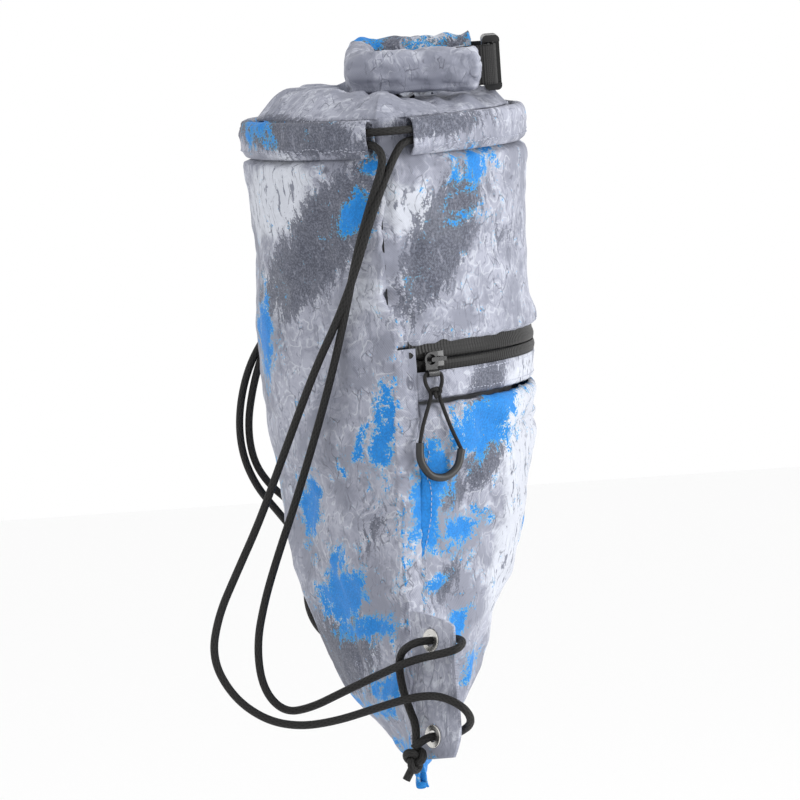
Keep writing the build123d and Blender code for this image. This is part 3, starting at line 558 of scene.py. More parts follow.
cloth_points = stuff(shell)
moves = (cloth_points - shell).reshape(len(heights), around, 3)
swelling = moves.copy()
for _ in range(24):
    swelling[1:-1] = (swelling[:-2] + 2 * swelling[1:-1] + swelling[2:]) / 4
    swelling = (np.roll(swelling, 1, 1) + 2 * swelling + np.roll(swelling, -1, 1)) / 4
moves = (moves - 0.8 * swelling).reshape(-1, 3)
sizes = np.linalg.norm(moves, axis=1)
held = FURTHEST_MOVE * np.tanh(sizes / FURTHEST_MOVE) / np.maximum(sizes, 1e-9)
cloth_points = shell + moves * held[:, None]
print("cloth moved up to", round(1000 * sizes.max(), 1), "mm, held to",
      round(1000 * (sizes * held).max(), 1), "mm")


def shoulder_push(height, from_seam):
    """The full bag swells again just under the channel's stitching."""
    below = CHANNEL_LOW - height
    start = min(1.0, max(0.0, (below + 0.006) / 0.006))
    swell = start * (0.72 + 0.28 * math.sin(min(1.0, max(0, below) / 0.012) * math.pi / 2))
    return 0.0068 * swell * math.exp(-(below / 0.06) ** 2) * min(1.0, from_seam / 0.030) ** 1.5


for row, height in enumerate(heights):
    for column in range(around):
        across = column if column <= COLUMNS else around - column
        from_seam = min(across, COLUMNS - across) / COLUMNS * PANEL_WIDTH
        point = cloth_points[row * around + column]
        sewn = [abs(height - line) for line in (0.0, CHANNEL_LOW)]
        if column <= COLUMNS:
            sewn += [abs(height - line) for line in (BAND_LOW, ZIP_LOW, ZIP_HIGH)]
        free = min(1.0, max(0.0, min(*sewn, from_seam * 0.8) - 0.002) / 0.018)
        fold = noise.noise(Vector((point[0] * 26, point[1] * 26, point[2] * 11 + 3)))
        slanted = noise.noise(Vector(((point[0] + point[2]) * 30, point[1] * 30,
                                      (point[2] - point[0]) * 12)))
        full = max(0.0, 1 - ((height - 0.165) / 0.075) ** 2) if column <= COLUMNS else 0.0
        full *= min(1.0, max(0.0, from_seam - 0.06) / 0.05)
        push = shoulder_push(height, from_seam) + free * (0.0055 * full +
            0.0034 * (fold - 0.05) + 0.0026 * min(0.35, slanted) - 0.0012)
        if push:
            way = np.array((point[0], 0.75 * point[1], 0.0))
            point += way / np.linalg.norm(way) * push

# %% [markdown]
# Every panel is cut out of the stuffed grid. Its edge dips a little, because a seam pulls
# the cloth inwards, and fine gathers stand beside each stitched line where the thread has
# drawn it in. The cloth then gets its thickness inwards, so that its outer face stays put.

# %% Cut a panel
CLOTH = 0.0012
SEAM_DIP = 0.0030
GATHER = 0.0008


def outward(points, rows, columns):
    """Unit normals of a grid of points."""
    grid = points.reshape(rows, columns, 3)
    along_rows = np.gradient(grid, axis=0)
    along_columns = np.gradient(grid, axis=1)
    normal = np.cross(along_columns, along_rows)
    normal /= np.maximum(np.linalg.norm(normal, axis=2), 1e-12)[..., None]
    return normal.reshape(-1, 3)


def edge_gathers(points, uv, edges):
    """Depth of the dip and the gathers at each point.

    Each edge is an axis of the flat cloth, a place on it, a width, and a gather's length.
    """
    depth = np.zeros(len(points))
    for axis, place, width, pitch in edges:
        from_edge = abs(uv[:, axis] - place)
        near = np.clip(1 - from_edge / width, 0, 1)
        along = uv[:, 1 - axis]
        pleats = np.sin(2 * math.pi * along / pitch + 1.7 * np.sin(along * 61))
        dip = 0.2 if place == CHANNEL_LOW else 1.0
        depth += dip * SEAM_DIP * near**3 - GATHER * pleats * near * (1 - 0.5 * near)
    return depth


# Creases of the left side, listed: two ends (forward place, height), depth, half width.
CREASES = (
    (-0.0050, 0.378, -0.0035, 0.300, 0.0032, 0.0045),
    (-0.0035, 0.300, 0.0060, 0.287, 0.0034, 0.0045),
    (0.0060, 0.287, 0.0030, 0.235, 0.0022, 0.0050),
    (0.0180, 0.303, 0.0480, 0.274, 0.0022, 0.0060),
    (0.0520, 0.216, 0.0300, 0.150, 0.0028, 0.0065),
    (-0.0520, 0.262, -0.0180, 0.165, 0.0018, 0.0100),
    (0.0180, 0.112, 0.0360, 0.062, 0.0020, 0.0060),
    (0.0620, 0.205, 0.0480, 0.128, 0.0020, 0.0080),
    (-0.0350, 0.372, -0.0500, 0.330, 0.0016, 0.0080),
    (0.0250, 0.374, 0.0380, 0.338, 0.0018, 0.0070),
    (-0.0300, 0.150, -0.0100, 0.085, 0.0018, 0.0080),
    (-0.0650, 0.235, -0.0600, 0.180, 0.0016, 0.0080))


def crease_depth(points):
    """How deep the listed creases are at each point."""
    x, height = points[:, 0], points[:, 2] - FOOT
    near = np.clip(-points[:, 1] / 0.03, 0, 1)
    total = np.zeros(len(points))
    for x1, h1, x2, h2, deep, wide in CREASES:
        run = (x2 - x1) ** 2 + (h2 - h1) ** 2
        t = np.clip(((x - x1) * (x2 - x1) + (height - h1) * (h2 - h1)) / run, 0, 1)
        off = np.hypot(x - x1 - t * (x2 - x1), height - h1 - t * (h2 - h1))
        ridge = 0.35 * deep * np.exp(-((off - 1.9 * wide) / wide) ** 2)
        total += (deep * np.exp(-(off / wide) ** 2) - ridge) * (1 - 0.5 * t)
    return total * near


def refine(grid, factor=2):
    """Puts points between those of a rows x columns x n grid, along smooth curves."""
    for axis in (0, 1):
        count = grid.shape[axis]
        marks = np.linspace(0, count - 1, factor * (count - 1) + 1)
        low = np.clip(np.floor(marks).astype(int), 0, count - 2)
        t = (marks - low)[(slice(None), None, None) if axis == 0 else (None, slice(None), None)]
        p0 = np.take(grid, np.clip(low - 1, 0, count - 1), axis)
        p1 = np.take(grid, low, axis)
        p2 = np.take(grid, low + 1, axis)
        p3 = np.take(grid, np.clip(low + 2, 0, count - 1), axis)
        grid = 0.5 * (2 * p1 + (p2 - p0) * t + (2 * p0 - 5 * p1 + 4 * p2 - p3) * t**2
                      + (3 * p1 - p0 - 3 * p2 + p3) * t**3)
    return grid


def cut_panel(name, low, high, first, last, edges, fineness=2, wrinkle=0.0009):
    """Rows low to high and columns first to last of the stuffed grid as a piece of cloth."""
    columns = [c % around for c in range(first, last + 1)]
    grid = cloth_points.reshape(len(heights), around, 3)[low:high + 1][:, columns]
    # The cloth is measured from the left seam on the front, from the right on the back.
    across = np.array([c / COLUMNS * PANEL_WIDTH for c in range(first, last + 1)])
    up = heights[low:high + 1]
    flat = np.stack(np.meshgrid(across, up), axis=-1)
    rows = refine(np.concatenate((grid, flat), axis=2), fineness)
    count = rows.shape[:2]
    points = rows[..., :3].reshape(-1, 3)
    uv = rows[..., 3:].reshape(-1, 2)
    normal = outward(points, *count)
    depth = edge_gathers(points, uv, edges)
    crease = ripple(points, 0.011, 3.0) * wrinkle + ripple(points, 0.034, 9.0) * wrinkle * 1.3
    depth += crease_depth(points)
    points = points + normal * (crease - depth)[:, None]
    piece = finish_mesh(name, points, grid_faces(*count), uv)
    print(name, "cut with", len(piece.data.polygons), "faces")
    return thicken(piece, CLOTH)


last_row = row_of[TOP]
seam_left, seam_right = 0.0, PANEL_WIDTH
back_right, back_left = PANEL_WIDTH, 2 * PANEL_WIDTH
strip_line = STRIP / COLUMNS * PANEL_WIDTH
back_cloth = cut_panel(
    "back_panel_cloth", 0, last_row, COLUMNS, 2 * COLUMNS,
    [(0, back_right, 0.018, 0.013), (0, back_left, 0.018, 0.013),
     (1, CHANNEL_LOW, 0.02, 0.011)])
front_upper_cloth = cut_panel(
    "front_upper_cloth", row_of[ZIP_HIGH], last_row, 0, COLUMNS,
    [(0, seam_left, 0.018, 0.013), (0, seam_right, 0.018, 0.013),
     (1, CHANNEL_LOW, 0.02, 0.011), (1, ZIP_HIGH, 0.008, 0.015)])
band_cloth = cut_panel(
    "pocket_band_cloth", row_of[BAND_LOW], row_of[ZIP_LOW], STRIP, COLUMNS - STRIP,
    [(1, BAND_LOW, 0.004, 0.017)], wrinkle=0.0003)
pocket_cloth = cut_panel(
    "pocket_cloth", 0, row_of[BAND_LOW], STRIP, COLUMNS - STRIP,
    [(0, strip_line, 0.012, 0.012), (0, PANEL_WIDTH - strip_line, 0.012, 0.012),
     (1, BAND_LOW, 0.008, 0.015)])
strip_cloths = {}
for side, first, last in (("left", 0, STRIP), ("right", COLUMNS - STRIP, COLUMNS)):
    strip_cloths[side] = cut_panel(
        f"side_strip_{side}_cloth", 0, row_of[ZIP_HIGH], first, last,
        [(0, seam_left if side == "left" else seam_right, 0.01, 0.012)], fineness=3,
        wrinkle=0.0005)

# %% [markdown]
# The bottom hem is the two panels and a strip folded round their edges, sewn flat. It is a
# narrow rounded bar that follows the lowest row of the bag from corner to corner.

# %% Bottom hem
HEM_HEIGHT, HEM_DEPTH = 0.0042, 0.0066


def swept_band(name, line, half_out, half_up, up=(0, 0, 1), around=16, power=2.6):
    """A rounded bar along a line; half_out and half_up are its half sizes across."""
    ahead = np.gradient(line, axis=0)
    ahead /= np.linalg.norm(ahead, axis=1)[:, None]
    out = np.cross(ahead, up)
    out /= np.linalg.norm(out, axis=1)[:, None]
    top = np.cross(out, ahead)
    angles = np.linspace(0, 2 * math.pi, around, endpoint=False)
    c = np.sign(np.cos(angles)) * abs(np.cos(angles)) ** (2 / power)
    s = np.sign(np.sin(angles)) * abs(np.sin(angles)) ** (2 / power)
    half_out = np.broadcast_to(half_out, len(line))
    half_up = np.broadcast_to(half_up, len(line))
    points = (line[:, None] + out[:, None] * (c * half_out[:, None])[..., None]
              + top[:, None] * (s * half_up[:, None])[..., None]).reshape(-1, 3)
    along = np.concatenate(([0], np.cumsum(np.linalg.norm(np.diff(line, axis=0), axis=1))))
    size = 2 * float(half_out.mean() + half_up.mean())
    uv = np.stack(np.meshgrid(angles / (2 * math.pi) * size, along), axis=-1).reshape(-1, 2)
    faces = grid_faces(len(line), around, closed=True)
    last = (len(line) - 1) * around
    faces += [tuple(range(around))[::-1], tuple(last + k for k in range(around))]
    piece = finish_mesh(name, points, faces, uv)
    shape = bmesh.new()
    shape.from_mesh(piece.data)
    bmesh.ops.recalc_face_normals(shape, faces=shape.faces)
    shape.to_mesh(piece.data)
    shape.free()
    return piece


hem_line = shell.reshape(len(heights), around, 3)[0, :COLUMNS + 1].copy()
hem_line[:, 0] = SEAM_X + 0.4 * (hem_line[:, 0] - SEAM_X)
hem_line[:, 2] += 0.4 * HEM_HEIGHT
hem_line[:, 0] += 0.0006 * ripple(hem_line, 0.02)
hem = swept_band("bottom_hem", evenly(hem_line, 0.003), HEM_DEPTH / 2, HEM_HEIGHT / 2)
print("hem", round(hem_line[-1, 1] - hem_line[0, 1], 3), "m long")

# %% [markdown]
# ## Channels round the mouth
#
# The top edge of each panel is folded down and stitched, which leaves a flat tube for the
# drawcords. The tube is pinched along its stitching and crumpled where the cords draw it
# together. Its ends stay open for the cords.

# %% Channels
CHANNEL_MIDDLE = -0.038
CHANNEL_OUT = 0.0054                  # middle of the tube outside the mouth's arc
CHANNEL_HALF = (0.0046, 0.0120)       # depth, height
CHANNEL_REACH = (-0.0050, 0.0058)     # how far a crumple may go in and out
CORD_ROOM = (-0.0037, 0.0042)         # kept clear in the tube for the cords
CORD_ROOM_SHARE = 0.62                # over this share of the height
CHANNEL_SQUARE = 0.8
CHANNEL_CLOTH = 0.0010
CHANNEL_GIRTH = 0.068                 # distance round the tube
FLARE = 0.012                         # the open ends widen over this length
MOUTH = {1: (-0.0721, 0.1521, 0.020), -1: (0.0774, 0.1604, 0.001)}   # centre, radius, gap
MOUTH_HALF = 0.1372                   # half the distance between the seams up here


def mouth_limit(centre):
    """Angle from the middle of the mouth's arc to a side seam."""
    return math.atan2(MOUTH_HALF, abs(SEAM_X - centre))


def mouth_arc(side, along, reach=0.0):
    """Point of the mouth's outline; along goes from -1 at the left seam to 1 at the right."""
    centre, radius, _ = MOUTH[side]
    angle = along * mouth_limit(centre)
    return np.array((centre + side * (radius + reach) * math.cos(angle),
                     (radius + reach) * math.sin(angle)))


def channel(name, side, seed):
    centre, radius, gap = MOUTH[side]
    limit = mouth_limit(centre) - gap / radius
    rows, turns = 260, 56
    points, uv = [], []
    for row in range(rows):
        angle = limit * (2 * row / (rows - 1) - 1)
        ahead = angle * radius
        drawn = noise.noise(Vector((ahead * 55, seed, 0)))
        wide = noise.noise(Vector((ahead * 21, seed, 5)))
        open_end = max(0.0, 1 - (limit - abs(angle)) * radius / FLARE)
        for turn in range(turns):
            t = 2 * math.pi * turn / turns
            out = squared(math.cos(t), CHANNEL_SQUARE)
            up = squared(math.sin(t), CHANNEL_SQUARE)
            pinch = 0.50 + 0.50 * min(1, max(0, (up + 0.98) / 0.42)) ** 0.7
            crumple = noise.noise(Vector((ahead * 95, up * 1.3 + out, seed)))
            fold = noise.noise(Vector((ahead * 34, up * 2.1, seed + 3)))
            depth = CHANNEL_HALF[0] * pinch * (1 + 0.10 * wide + 0.25 * open_end)
            reach = out * depth + (0.0011 * crumple + 0.0013 * fold) * (0.35 + 0.65 * pinch)
            reach = min(max(reach, CHANNEL_REACH[0]), CHANNEL_REACH[1])
            if abs(up) < CORD_ROOM_SHARE:
                reach = max(reach, CORD_ROOM[1]) if out > 0 else min(reach, CORD_ROOM[0])
            height = up * CHANNEL_HALF[1] * (1 - 0.035 * (1 + drawn) * (up > 0))
            x = centre + side * (radius + CHANNEL_OUT + reach) * math.cos(angle)
            y = (radius + CHANNEL_OUT + reach) * math.sin(angle)
            points.append((x, y, CHANNEL_MIDDLE + height))
            uv.append((t / (2 * math.pi) * CHANNEL_GIRTH, ahead + 1.0))
    piece = finish_mesh(name, points, grid_faces(rows, turns, closed=True, flip=side > 0), uv)
    return thicken(piece, CHANNEL_CLOTH)


channels = {"front": channel("channel_front_cloth", 1, 2.0),
            "back": channel("channel_back_cloth", -1, 8.0)}

# %% [markdown]
# ## Collar and roll
#
# Above the channels the lining fabric of the mouth is squeezed together and turned down into
# a flat roll. The roll is then bent into a ring so that its two ends meet in the buckle.

# %% Collar
COLLAR_FOOT = -0.0262
COLLAR_MIDDLE = np.array((0.016, 0.0))
COLLAR_CLOTH = 0.0009
COLLAR_CREST = (0.0090, 0.0085)       # rise above the foot at the front, more at the back
CREST_SHARE = 0.42                    # share of the way inwards where the crest lies
# The cloth stays below these heights: under the roll, at the front, at the back.
COLLAR_TOPS = (-0.0169, -0.0150, -0.0080)
# Pleats, listed: direction from the middle, depth, width in radians.
PLEATS = ((-1.38, 0.0060, 0.05), (-1.62, 0.0035, 0.04), (-1.15, 0.0045, 0.05),
          (-1.95, 0.0040, 0.06), (-2.4, 0.0050, 0.05), (1.45, 0.0050, 0.05),
          (2.3, 0.0050, 0.06), (0.9, 0.0040, 0.05), (-0.7, 0.0040, 0.05))


def collar_cloth():
    rings, spokes = 26, 420
    points, uv = [], []
    for ring in range(rings):
        t = ring / (rings - 1)
        for spoke in range(spokes):
            s = 4 * spoke / spokes
            side, along = (1, s - 1) if s < 2 else (-1, 3 - s)
            spot = mouth_arc(side, along, -0.0012)
            inward = COLLAR_MIDDLE - spot
            distance = np.linalg.norm(inward)
            inward /= distance
            draw = t * (0.62 * distance + 0.004)
            heading = math.atan2(inward[1], inward[0])
            crease = squared(noise.noise(Vector((heading * 3.1, 1.5 * t, 4))), 0.8)
            fine = noise.noise(Vector((heading * 9.5, 2.0 * t, 9)))
            behind = min(1, max(0, (0.010 - spot[0]) / 0.040))
            crest = COLLAR_CREST[0] + COLLAR_CREST[1] * behind
            rise = crest * math.sin(min(1.0, t / CREST_SHARE) * math.pi / 2)
            sink = 0.002 * max(0, t - CREST_SHARE)
            facing = math.atan2(spot[1], spot[0])
            for turn, deep, wide in PLEATS:
                rise -= deep * math.exp(-((facing + 0.25 * t - turn) / wide) ** 2) * t
            lift = (0.0048 * crease + 0.0018 * fine) * min(1, t / 0.18)
            point = spot + inward * draw
            below_roll = abs(point[1]) < 0.071 and -0.027 < point[0] < 0.062
            z = COLLAR_FOOT + rise - sink + lift
            top = COLLAR_TOPS[0 if below_roll else 1 if point[0] > 0.02 else 2]
            points.append((*point, min(z, top)))
            uv.append((s * 0.14, t * 0.09))
    piece = finish_mesh("collar_cloth", points, grid_faces(rings, spokes, closed=True), uv)
    return thicken(piece, COLLAR_CLOTH)


collar = collar_cloth()

# %% [markdown]
# The roll is drawn round a path with rounded corners. Its section is a spiral: one ledge,
# where the loose edge of the cloth lies on the roll, runs along its outer face. At both ends
# the turns of cloth show as a spiral that bulges a little.

# %% Roll
ROLL_HALF = (0.0120, 0.0155)
ROLL_CENTRE = ((0.057, 0.057), (-0.013, 0.057), (-0.013, -0.057), (0.057, -0.057))
ROLL_BEND = 0.014
ROLL_STEP = 0.0014                    # distance between two rings of points
ROLL_SQUARE = 0.8
ROLL_GIRTH = 0.095                    # distance round the roll
ROLL_CLOTH = 0.0016                   # step at the loose edge
CAP_ROWS = 12
CAP_OUT = (0.0034, 0.0062)            # how far the two ends bulge


def rounded_path(corners, bend, spacing):
    """Plan points of a path whose corners are arcs."""
    corners = [np.array(c) for c in corners]
    path = [corners[0]]
    for before, corner, after in zip(corners, corners[1:], corners[2:]):
        to_before = (before - corner) / np.linalg.norm(before - corner)
        to_after = (after - corner) / np.linalg.norm(after - corner)
        centre = corner + bend * (to_before + to_after)
        for k in range(13):
            turn = k / 12 * math.pi / 2
            path.append(centre - bend * (to_after * math.cos(turn) + to_before * math.sin(turn)))
    path.append(corners[-1])
    return evenly(np.array([(*p, 0) for p in path]), spacing)


def roll_cloth():
    path = rounded_path(ROLL_CENTRE, ROLL_BEND, ROLL_STEP)
    ahead = np.gradient(path, axis=0)
    ahead /= np.linalg.norm(ahead, axis=1)[:, None]
    out = np.cross(ahead, (0, 0, 1.0))
    rows, turns = len(path), 96
    points, uv = [], []
    for row in range(-CAP_ROWS, rows + CAP_ROWS):
        inner = min(max(row, 0), rows - 1)
        beyond = max(0, -row, row - rows + 1)
        shrink = math.cos(beyond / CAP_ROWS * math.pi / 2) if beyond < CAP_ROWS else 0.0
        cap = 1 - shrink
        end_way = 1 if row > 0 else -1
        bulge = CAP_OUT[end_way > 0] * math.sin(beyond / CAP_ROWS * math.pi / 2)
        centre = path[inner] + ahead[inner] * (end_way * bulge)
        along = row * ROLL_STEP
        swell = min(1, max(0, (centre[1] + 0.05) / 0.1)) ** 1.5
        for turn in range(turns):
            t = 2 * math.pi * turn / turns
            c, s = math.cos(t), math.sin(t)
            across = squared(c, ROLL_SQUARE) * ROLL_HALF[0]
            up = squared(s, ROLL_SQUARE) * ROLL_HALF[1]
            # The loose edge: a ledge at one turn, spread thinly over the rest of the turn.
            ledge = ROLL_CLOTH * ((t + 0.9) % (2 * math.pi)) / (2 * math.pi)
            sag = 0.0017 * noise.noise(Vector((along * 45, c * 0.9, s * 0.9)))
            fold = 0.0016 * noise.noise(Vector((along * 110, c * 2.2, s * 2.2 + 7)))
            scale = (1 - (ROLL_CLOTH - ledge) / 0.0135 - 0.055) * shrink
            size = math.hypot(across, up) * scale
            grow = 1 + (sag + fold - 0.0004) / max(size, 0.004) * shrink
            across, up = across * scale * grow, up * scale * grow
            across = min(max(across, -ROLL_HALF[0]), ROLL_HALF[0])
            up = min(max(up, -ROLL_HALF[1]), ROLL_HALF[1])
            up *= 1 + 0.45 * swell if up > 0 else 1
            spot = centre
            if cap:
                # Spiral grooves between the turns of cloth.
                groove = 0.5 + 0.5 * math.cos(2 * math.pi * (3.2 * shrink + t / (2 * math.pi)))
                dent = 0.0011 * groove * math.sin(min(1, 1.2 * shrink) * math.pi)
                spot = centre - ahead[inner] * dent * end_way
            points.append(spot + out[inner] * across + np.array((0, 0, up)))
            uv.append((t / (2 * math.pi) * ROLL_GIRTH, along + cap * 0.012 * end_way))
    faces = grid_faces(rows + 2 * CAP_ROWS, turns, closed=True)
    piece = finish_mesh("roll_cloth", points, faces, uv)
    shape = bmesh.new()
    shape.from_mesh(piece.data)
    bmesh.ops.remove_doubles(shape, verts=shape.verts, dist=1e-5)
    bmesh.ops.recalc_face_normals(shape, faces=shape.faces)
    shape.to_mesh(piece.data)
    shape.free()
    return piece


roll = roll_cloth()
print("roll", [round(float(v), 4) for v in vertex_array(roll).min(0)],
      [round(float(v), 4) for v in vertex_array(roll).max(0)])

# %% [markdown]
# ## Webbing of the buckle
#
# Each end of the roll carries a loop of flat webbing. It comes out of the roll, goes round
# its bar of the buckle and returns, so two layers lie together.

# %% Webbing
WEBBING = (0.025, 0.0013)             # width, thickness
WEBBING_STEP = 0.0007                 # distance between two rows of points
BAR_X = 0.0705
ROLL_END_Y = 0.057


def webbing_loop(name, side, bar_y):
    """One loop; side is 1 towards +Y, bar_y is where its bar of the buckle stands."""
    y = side * ROLL_END_Y
    route = [(0.0475, y - side * 0.0006), (0.056, y - side * 0.0008), (0.0625, y - side * 0.003),
             (0.0672, y - side * 0.0085), (0.0688, y - side * 0.014)]
    back = [(0.0722, y - side * 0.014), (0.0709, y - side * 0.0072), (0.0655, y - side * 0.0004),
            (0.0575, y + side * 0.0010), (0.0475, y + side * 0.0010)]
    loop = [(BAR_X - 0.0019 * math.cos(a), bar_y - side * 0.0021 * math.sin(a))
            for a in np.linspace(0, math.pi, 7)]
    plan = evenly(np.array([(*p, 0.0) for p in route + loop + back]), 0.0004)
    for _ in range(30):
        plan[1:-1] = 0.25 * plan[:-2] + 0.5 * plan[1:-1] + 0.25 * plan[2:]
    plan = evenly(plan, WEBBING_STEP)
    across = np.linspace(-1, 1, 15)
    points = np.array([(x, yy, WEBBING[0] / 2 * w) for x, yy, _ in plan for w in across])
    along = np.arange(len(plan)) * WEBBING_STEP
    uv = np.stack(np.meshgrid(across * WEBBING[0] / 2, along), axis=-1).reshape(-1, 2)
    piece = finish_mesh(name, points, grid_faces(len(plan), len(across)), uv)
    return thicken(piece, WEBBING[1], offset=0.0)


webbing = {"left": webbing_loop("webbing_left", -1, -0.0125),
           "right": webbing_loop("webbing_right", 1, 0.0301)}

# %% [markdown]
# ## Zip film
#
# A water-repellent zip has a smooth film over the teeth. The two films almost touch, which
# hides the coil and leaves a fine dark line between them.

# %% Zip films
ZIP_CENTRE, ZIP_RADIUS, ZIP_LEVEL = -0.053126, 0.139626, -0.177
ZIP_HALF_ANGLE = math.radians(65.14)
FILM_GAP, FILM_WIDTH, FILM_THICKNESS = 0.00035, 0.0131, 0.0006


def zip_film(name, sign):
    """One of the two films; sign is 1 for the one above the teeth."""
    rows, columns = 9, 460
    points, uv = [], []
    for row in range(rows):
        t = row / (rows - 1)
        up = sign * (FILM_GAP + FILM_WIDTH * t)
        for column in range(columns):
            share = column / (columns - 1)
            angle = ZIP_HALF_ANGLE * (2 * share - 1)
            ahead = angle * ZIP_RADIUS
            swell = 0.0008 * math.sin(math.pi * min(1, t / 0.5)) if t < 0.5 else 0.0
            wave = 0.0003 * noise.noise(Vector((ahead * 40, sign * t, 2)))
            reach = ZIP_RADIUS - 0.0011 + swell + wave - 0.0006 * t
            points.append((ZIP_CENTRE + reach * math.cos(angle), reach * math.sin(angle),
                           ZIP_LEVEL + up))
            uv.append((ahead + 0.2, sign * up))
    piece = finish_mesh(name, points, grid_faces(rows, columns, flip=sign < 0), uv)
    return thicken(piece, FILM_THICKNESS)


zip_films = {"upper": zip_film("zip_film_upper", 1), "lower": zip_film("zip_film_lower", -1)}
print("channels, collar, roll, webbing and zip film made")

# %% [markdown]
# ## Corner tabs
#
# A stitched flap of the printed cloth stands out of each side seam near the bottom. Its
# eyelets carry the drawcord's lower end.

# %% Corner tabs
TAB_WIDTH = 0.042
TAB_LOW, TAB_HIGH = 0.016, 0.108
TAB_TURN = math.radians(40)
TAB_CLOTH = 0.0022
EYELET_PLACES = ((0.033, 0.017), (0.091, 0.021))      # height above the corners, inset
EYELET_CUT = 0.0052                   # radius of the hole in the cloth


def tab_frame():
    """Foot of the left tab, its outward and upward directions, and its length."""
    outward_way = np.array((math.sin(TAB_TURN), -math.cos(TAB_TURN), 0))
    ends = [np.array((SEAM_X, -half_chord(h), FOOT + h)) for h in (TAB_LOW, TAB_HIGH)]
    rise = ends[1] - ends[0]
    tall = np.linalg.norm(rise)
    rise = rise / tall
    flat_out = outward_way - rise * np.dot(outward_way, rise)
    flat_out /= np.linalg.norm(flat_out)
    return ends[0], flat_out, rise, tall


def eyelet_centres():
    foot, out, rise, _ = tab_frame()
    places = []
    for height, inset in EYELET_PLACES:
        seam = np.array((SEAM_X, -half_chord(height), FOOT + height))
        up = np.dot(seam - foot, rise)
        across = np.dot(seam - foot, out) + inset
        places.append((across, up))
    return places


def tab_edge(up, tall):
    """How far the tab reaches out at a height along it."""
    low, high = 0.2 * tall, 0.86 * tall
    if up < low:
        return TAB_WIDTH * (0.80 + 0.20 * math.sin(up / low * math.pi / 2))
    if up > high:
        t = (up - high) / (tall - high)
        return TAB_WIDTH * (1 - 0.96 * t**1.5)
    return TAB_WIDTH


def corner_tab():
    foot, out, rise, tall = tab_frame()
    face = np.cross(out, rise)
    holes = eyelet_centres()
    rows, columns = 120, 60
    points, uv = [], []
    for row in range(rows):
        up = tall * (0.012 + 0.976 * row / (rows - 1))
        reach = tab_edge(up, tall)
        for column in range(columns):
            share = column / (columns - 1)
            across = 0.0022 + (reach - 0.0028) * share
            near_hole = min(math.hypot(across - x, up - y) for x, y in holes)
            calm = min(1, max(0, (near_hole - 0.0075) / 0.006))
            wave = 0.0007 * noise.noise(Vector((across * 60, up * 42, 3))) * calm
            points.append(foot + out * across + rise * up + face * wave)
            uv.append((across, up))
    shape = bmesh.new()
    spots = [shape.verts.new(p) for p in points]
    layer = shape.loops.layers.uv.new("cloth")
    for row in range(rows - 1):
        for column in range(columns - 1):
            corner = [row * columns + column, row * columns + column + 1,
                      (row + 1) * columns + column + 1, (row + 1) * columns + column]
            middle = np.mean([uv[c] for c in corner], axis=0)
            if min(math.hypot(middle[0] - x, middle[1] - y) for x, y in holes) < EYELET_CUT:
                continue
            made = shape.faces.new([spots[c] for c in corner])
            for loop, c in zip(made.loops, corner):
                loop[layer].uv = uv[c]
    bmesh.ops.delete(shape, geom=[v for v in shape.verts if not v.link_faces],
                     context="VERTS")
    mesh = bpy.data.meshes.new("corner_tab_left_cloth")
    shape.to_mesh(mesh)
    shape.free()
    mesh.shade_smooth()
    piece = bpy.data.objects.new("corner_tab_left_cloth", mesh)
    scene.collection.objects.link(piece)
    return thicken(piece, TAB_CLOTH, offset=0.0, bevel=0.0004)


def mirrored(piece, name):
    """A copy on the bag's other side."""
    copy = bpy.data.objects.new(name, piece.data.copy())
    copy.data.name = name
    copy.data.transform(Matrix.Scale(-1, 4, (0, 1, 0)))
    copy.data.flip_normals()
    scene.collection.objects.link(copy)
    return copy


tabs = {"left": corner_tab()}
tabs["right"] = mirrored(tabs["left"], "corner_tab_right_cloth")

# %% [markdown]
# ## Knots and the pull loop
#
# A knot is a cord that goes through itself. The trefoil curve is the simplest closed line
# that does so, and a thick tube along it reads as a tied knot from every side.

# %% Knots
def trefoil(centre, size, count=120):
    t = np.linspace(0, 2 * math.pi, count, endpoint=False)
    line = np.column_stack((np.sin(t) + 2 * np.sin(2 * t), -np.sin(3 * t) * 1.2,
                            np.cos(t) - 2 * np.cos(2 * t)))
    return np.array(centre) + line * np.array(size)


def knot_piece(name, centre, size, radius, tail=None):
    line = trefoil(centre, size)
    line = np.vstack((line, line[:2]))
    piece, _ = tube(name, line, radius, spacing=0.0008)
    if tail is not None:
        short, _ = tube(name + "_tail", np.array(tail), radius, spacing=0.0008)
        return joined(name, [piece, short])
    return piece


def joined(name, pieces):
    """One object with the meshes of several."""
    shape = bmesh.new()
    for piece in pieces:
        shape.from_mesh(piece.data)
    first = pieces[0]
    shape.to_mesh(first.data)
    shape.free()
    for piece in pieces[1:]:
        bpy.data.objects.remove(piece)
    first.name = name
    first.data.name = name
    return first


KNOT_CENTRE = (-0.008, -0.184, -0.415)
knots = {}
for side, sign in (("left", 1), ("right", -1)):
    x, y, z = KNOT_CENTRE
    tail = [(x, sign * y, z - 0.002), (x - 0.003, sign * y, z - 0.007),
            (x - 0.0062, sign * y, z - 0.0125)]
    knots[side] = knot_piece(f"drawcord_knot_{side}_braid", (x, sign * y, z),
                             (0.00185, 0.0022, 0.00225), 0.00248, tail)
print("knots tied")

# %% [markdown]
# The pull loop hangs from the puller's barrel: a thin cord, a small knot and a moulded grip
# at the bottom. It is drawn flat in its own plane, leant away from the bag a little, and then
# turned round the zip's centre to where the slider rests.

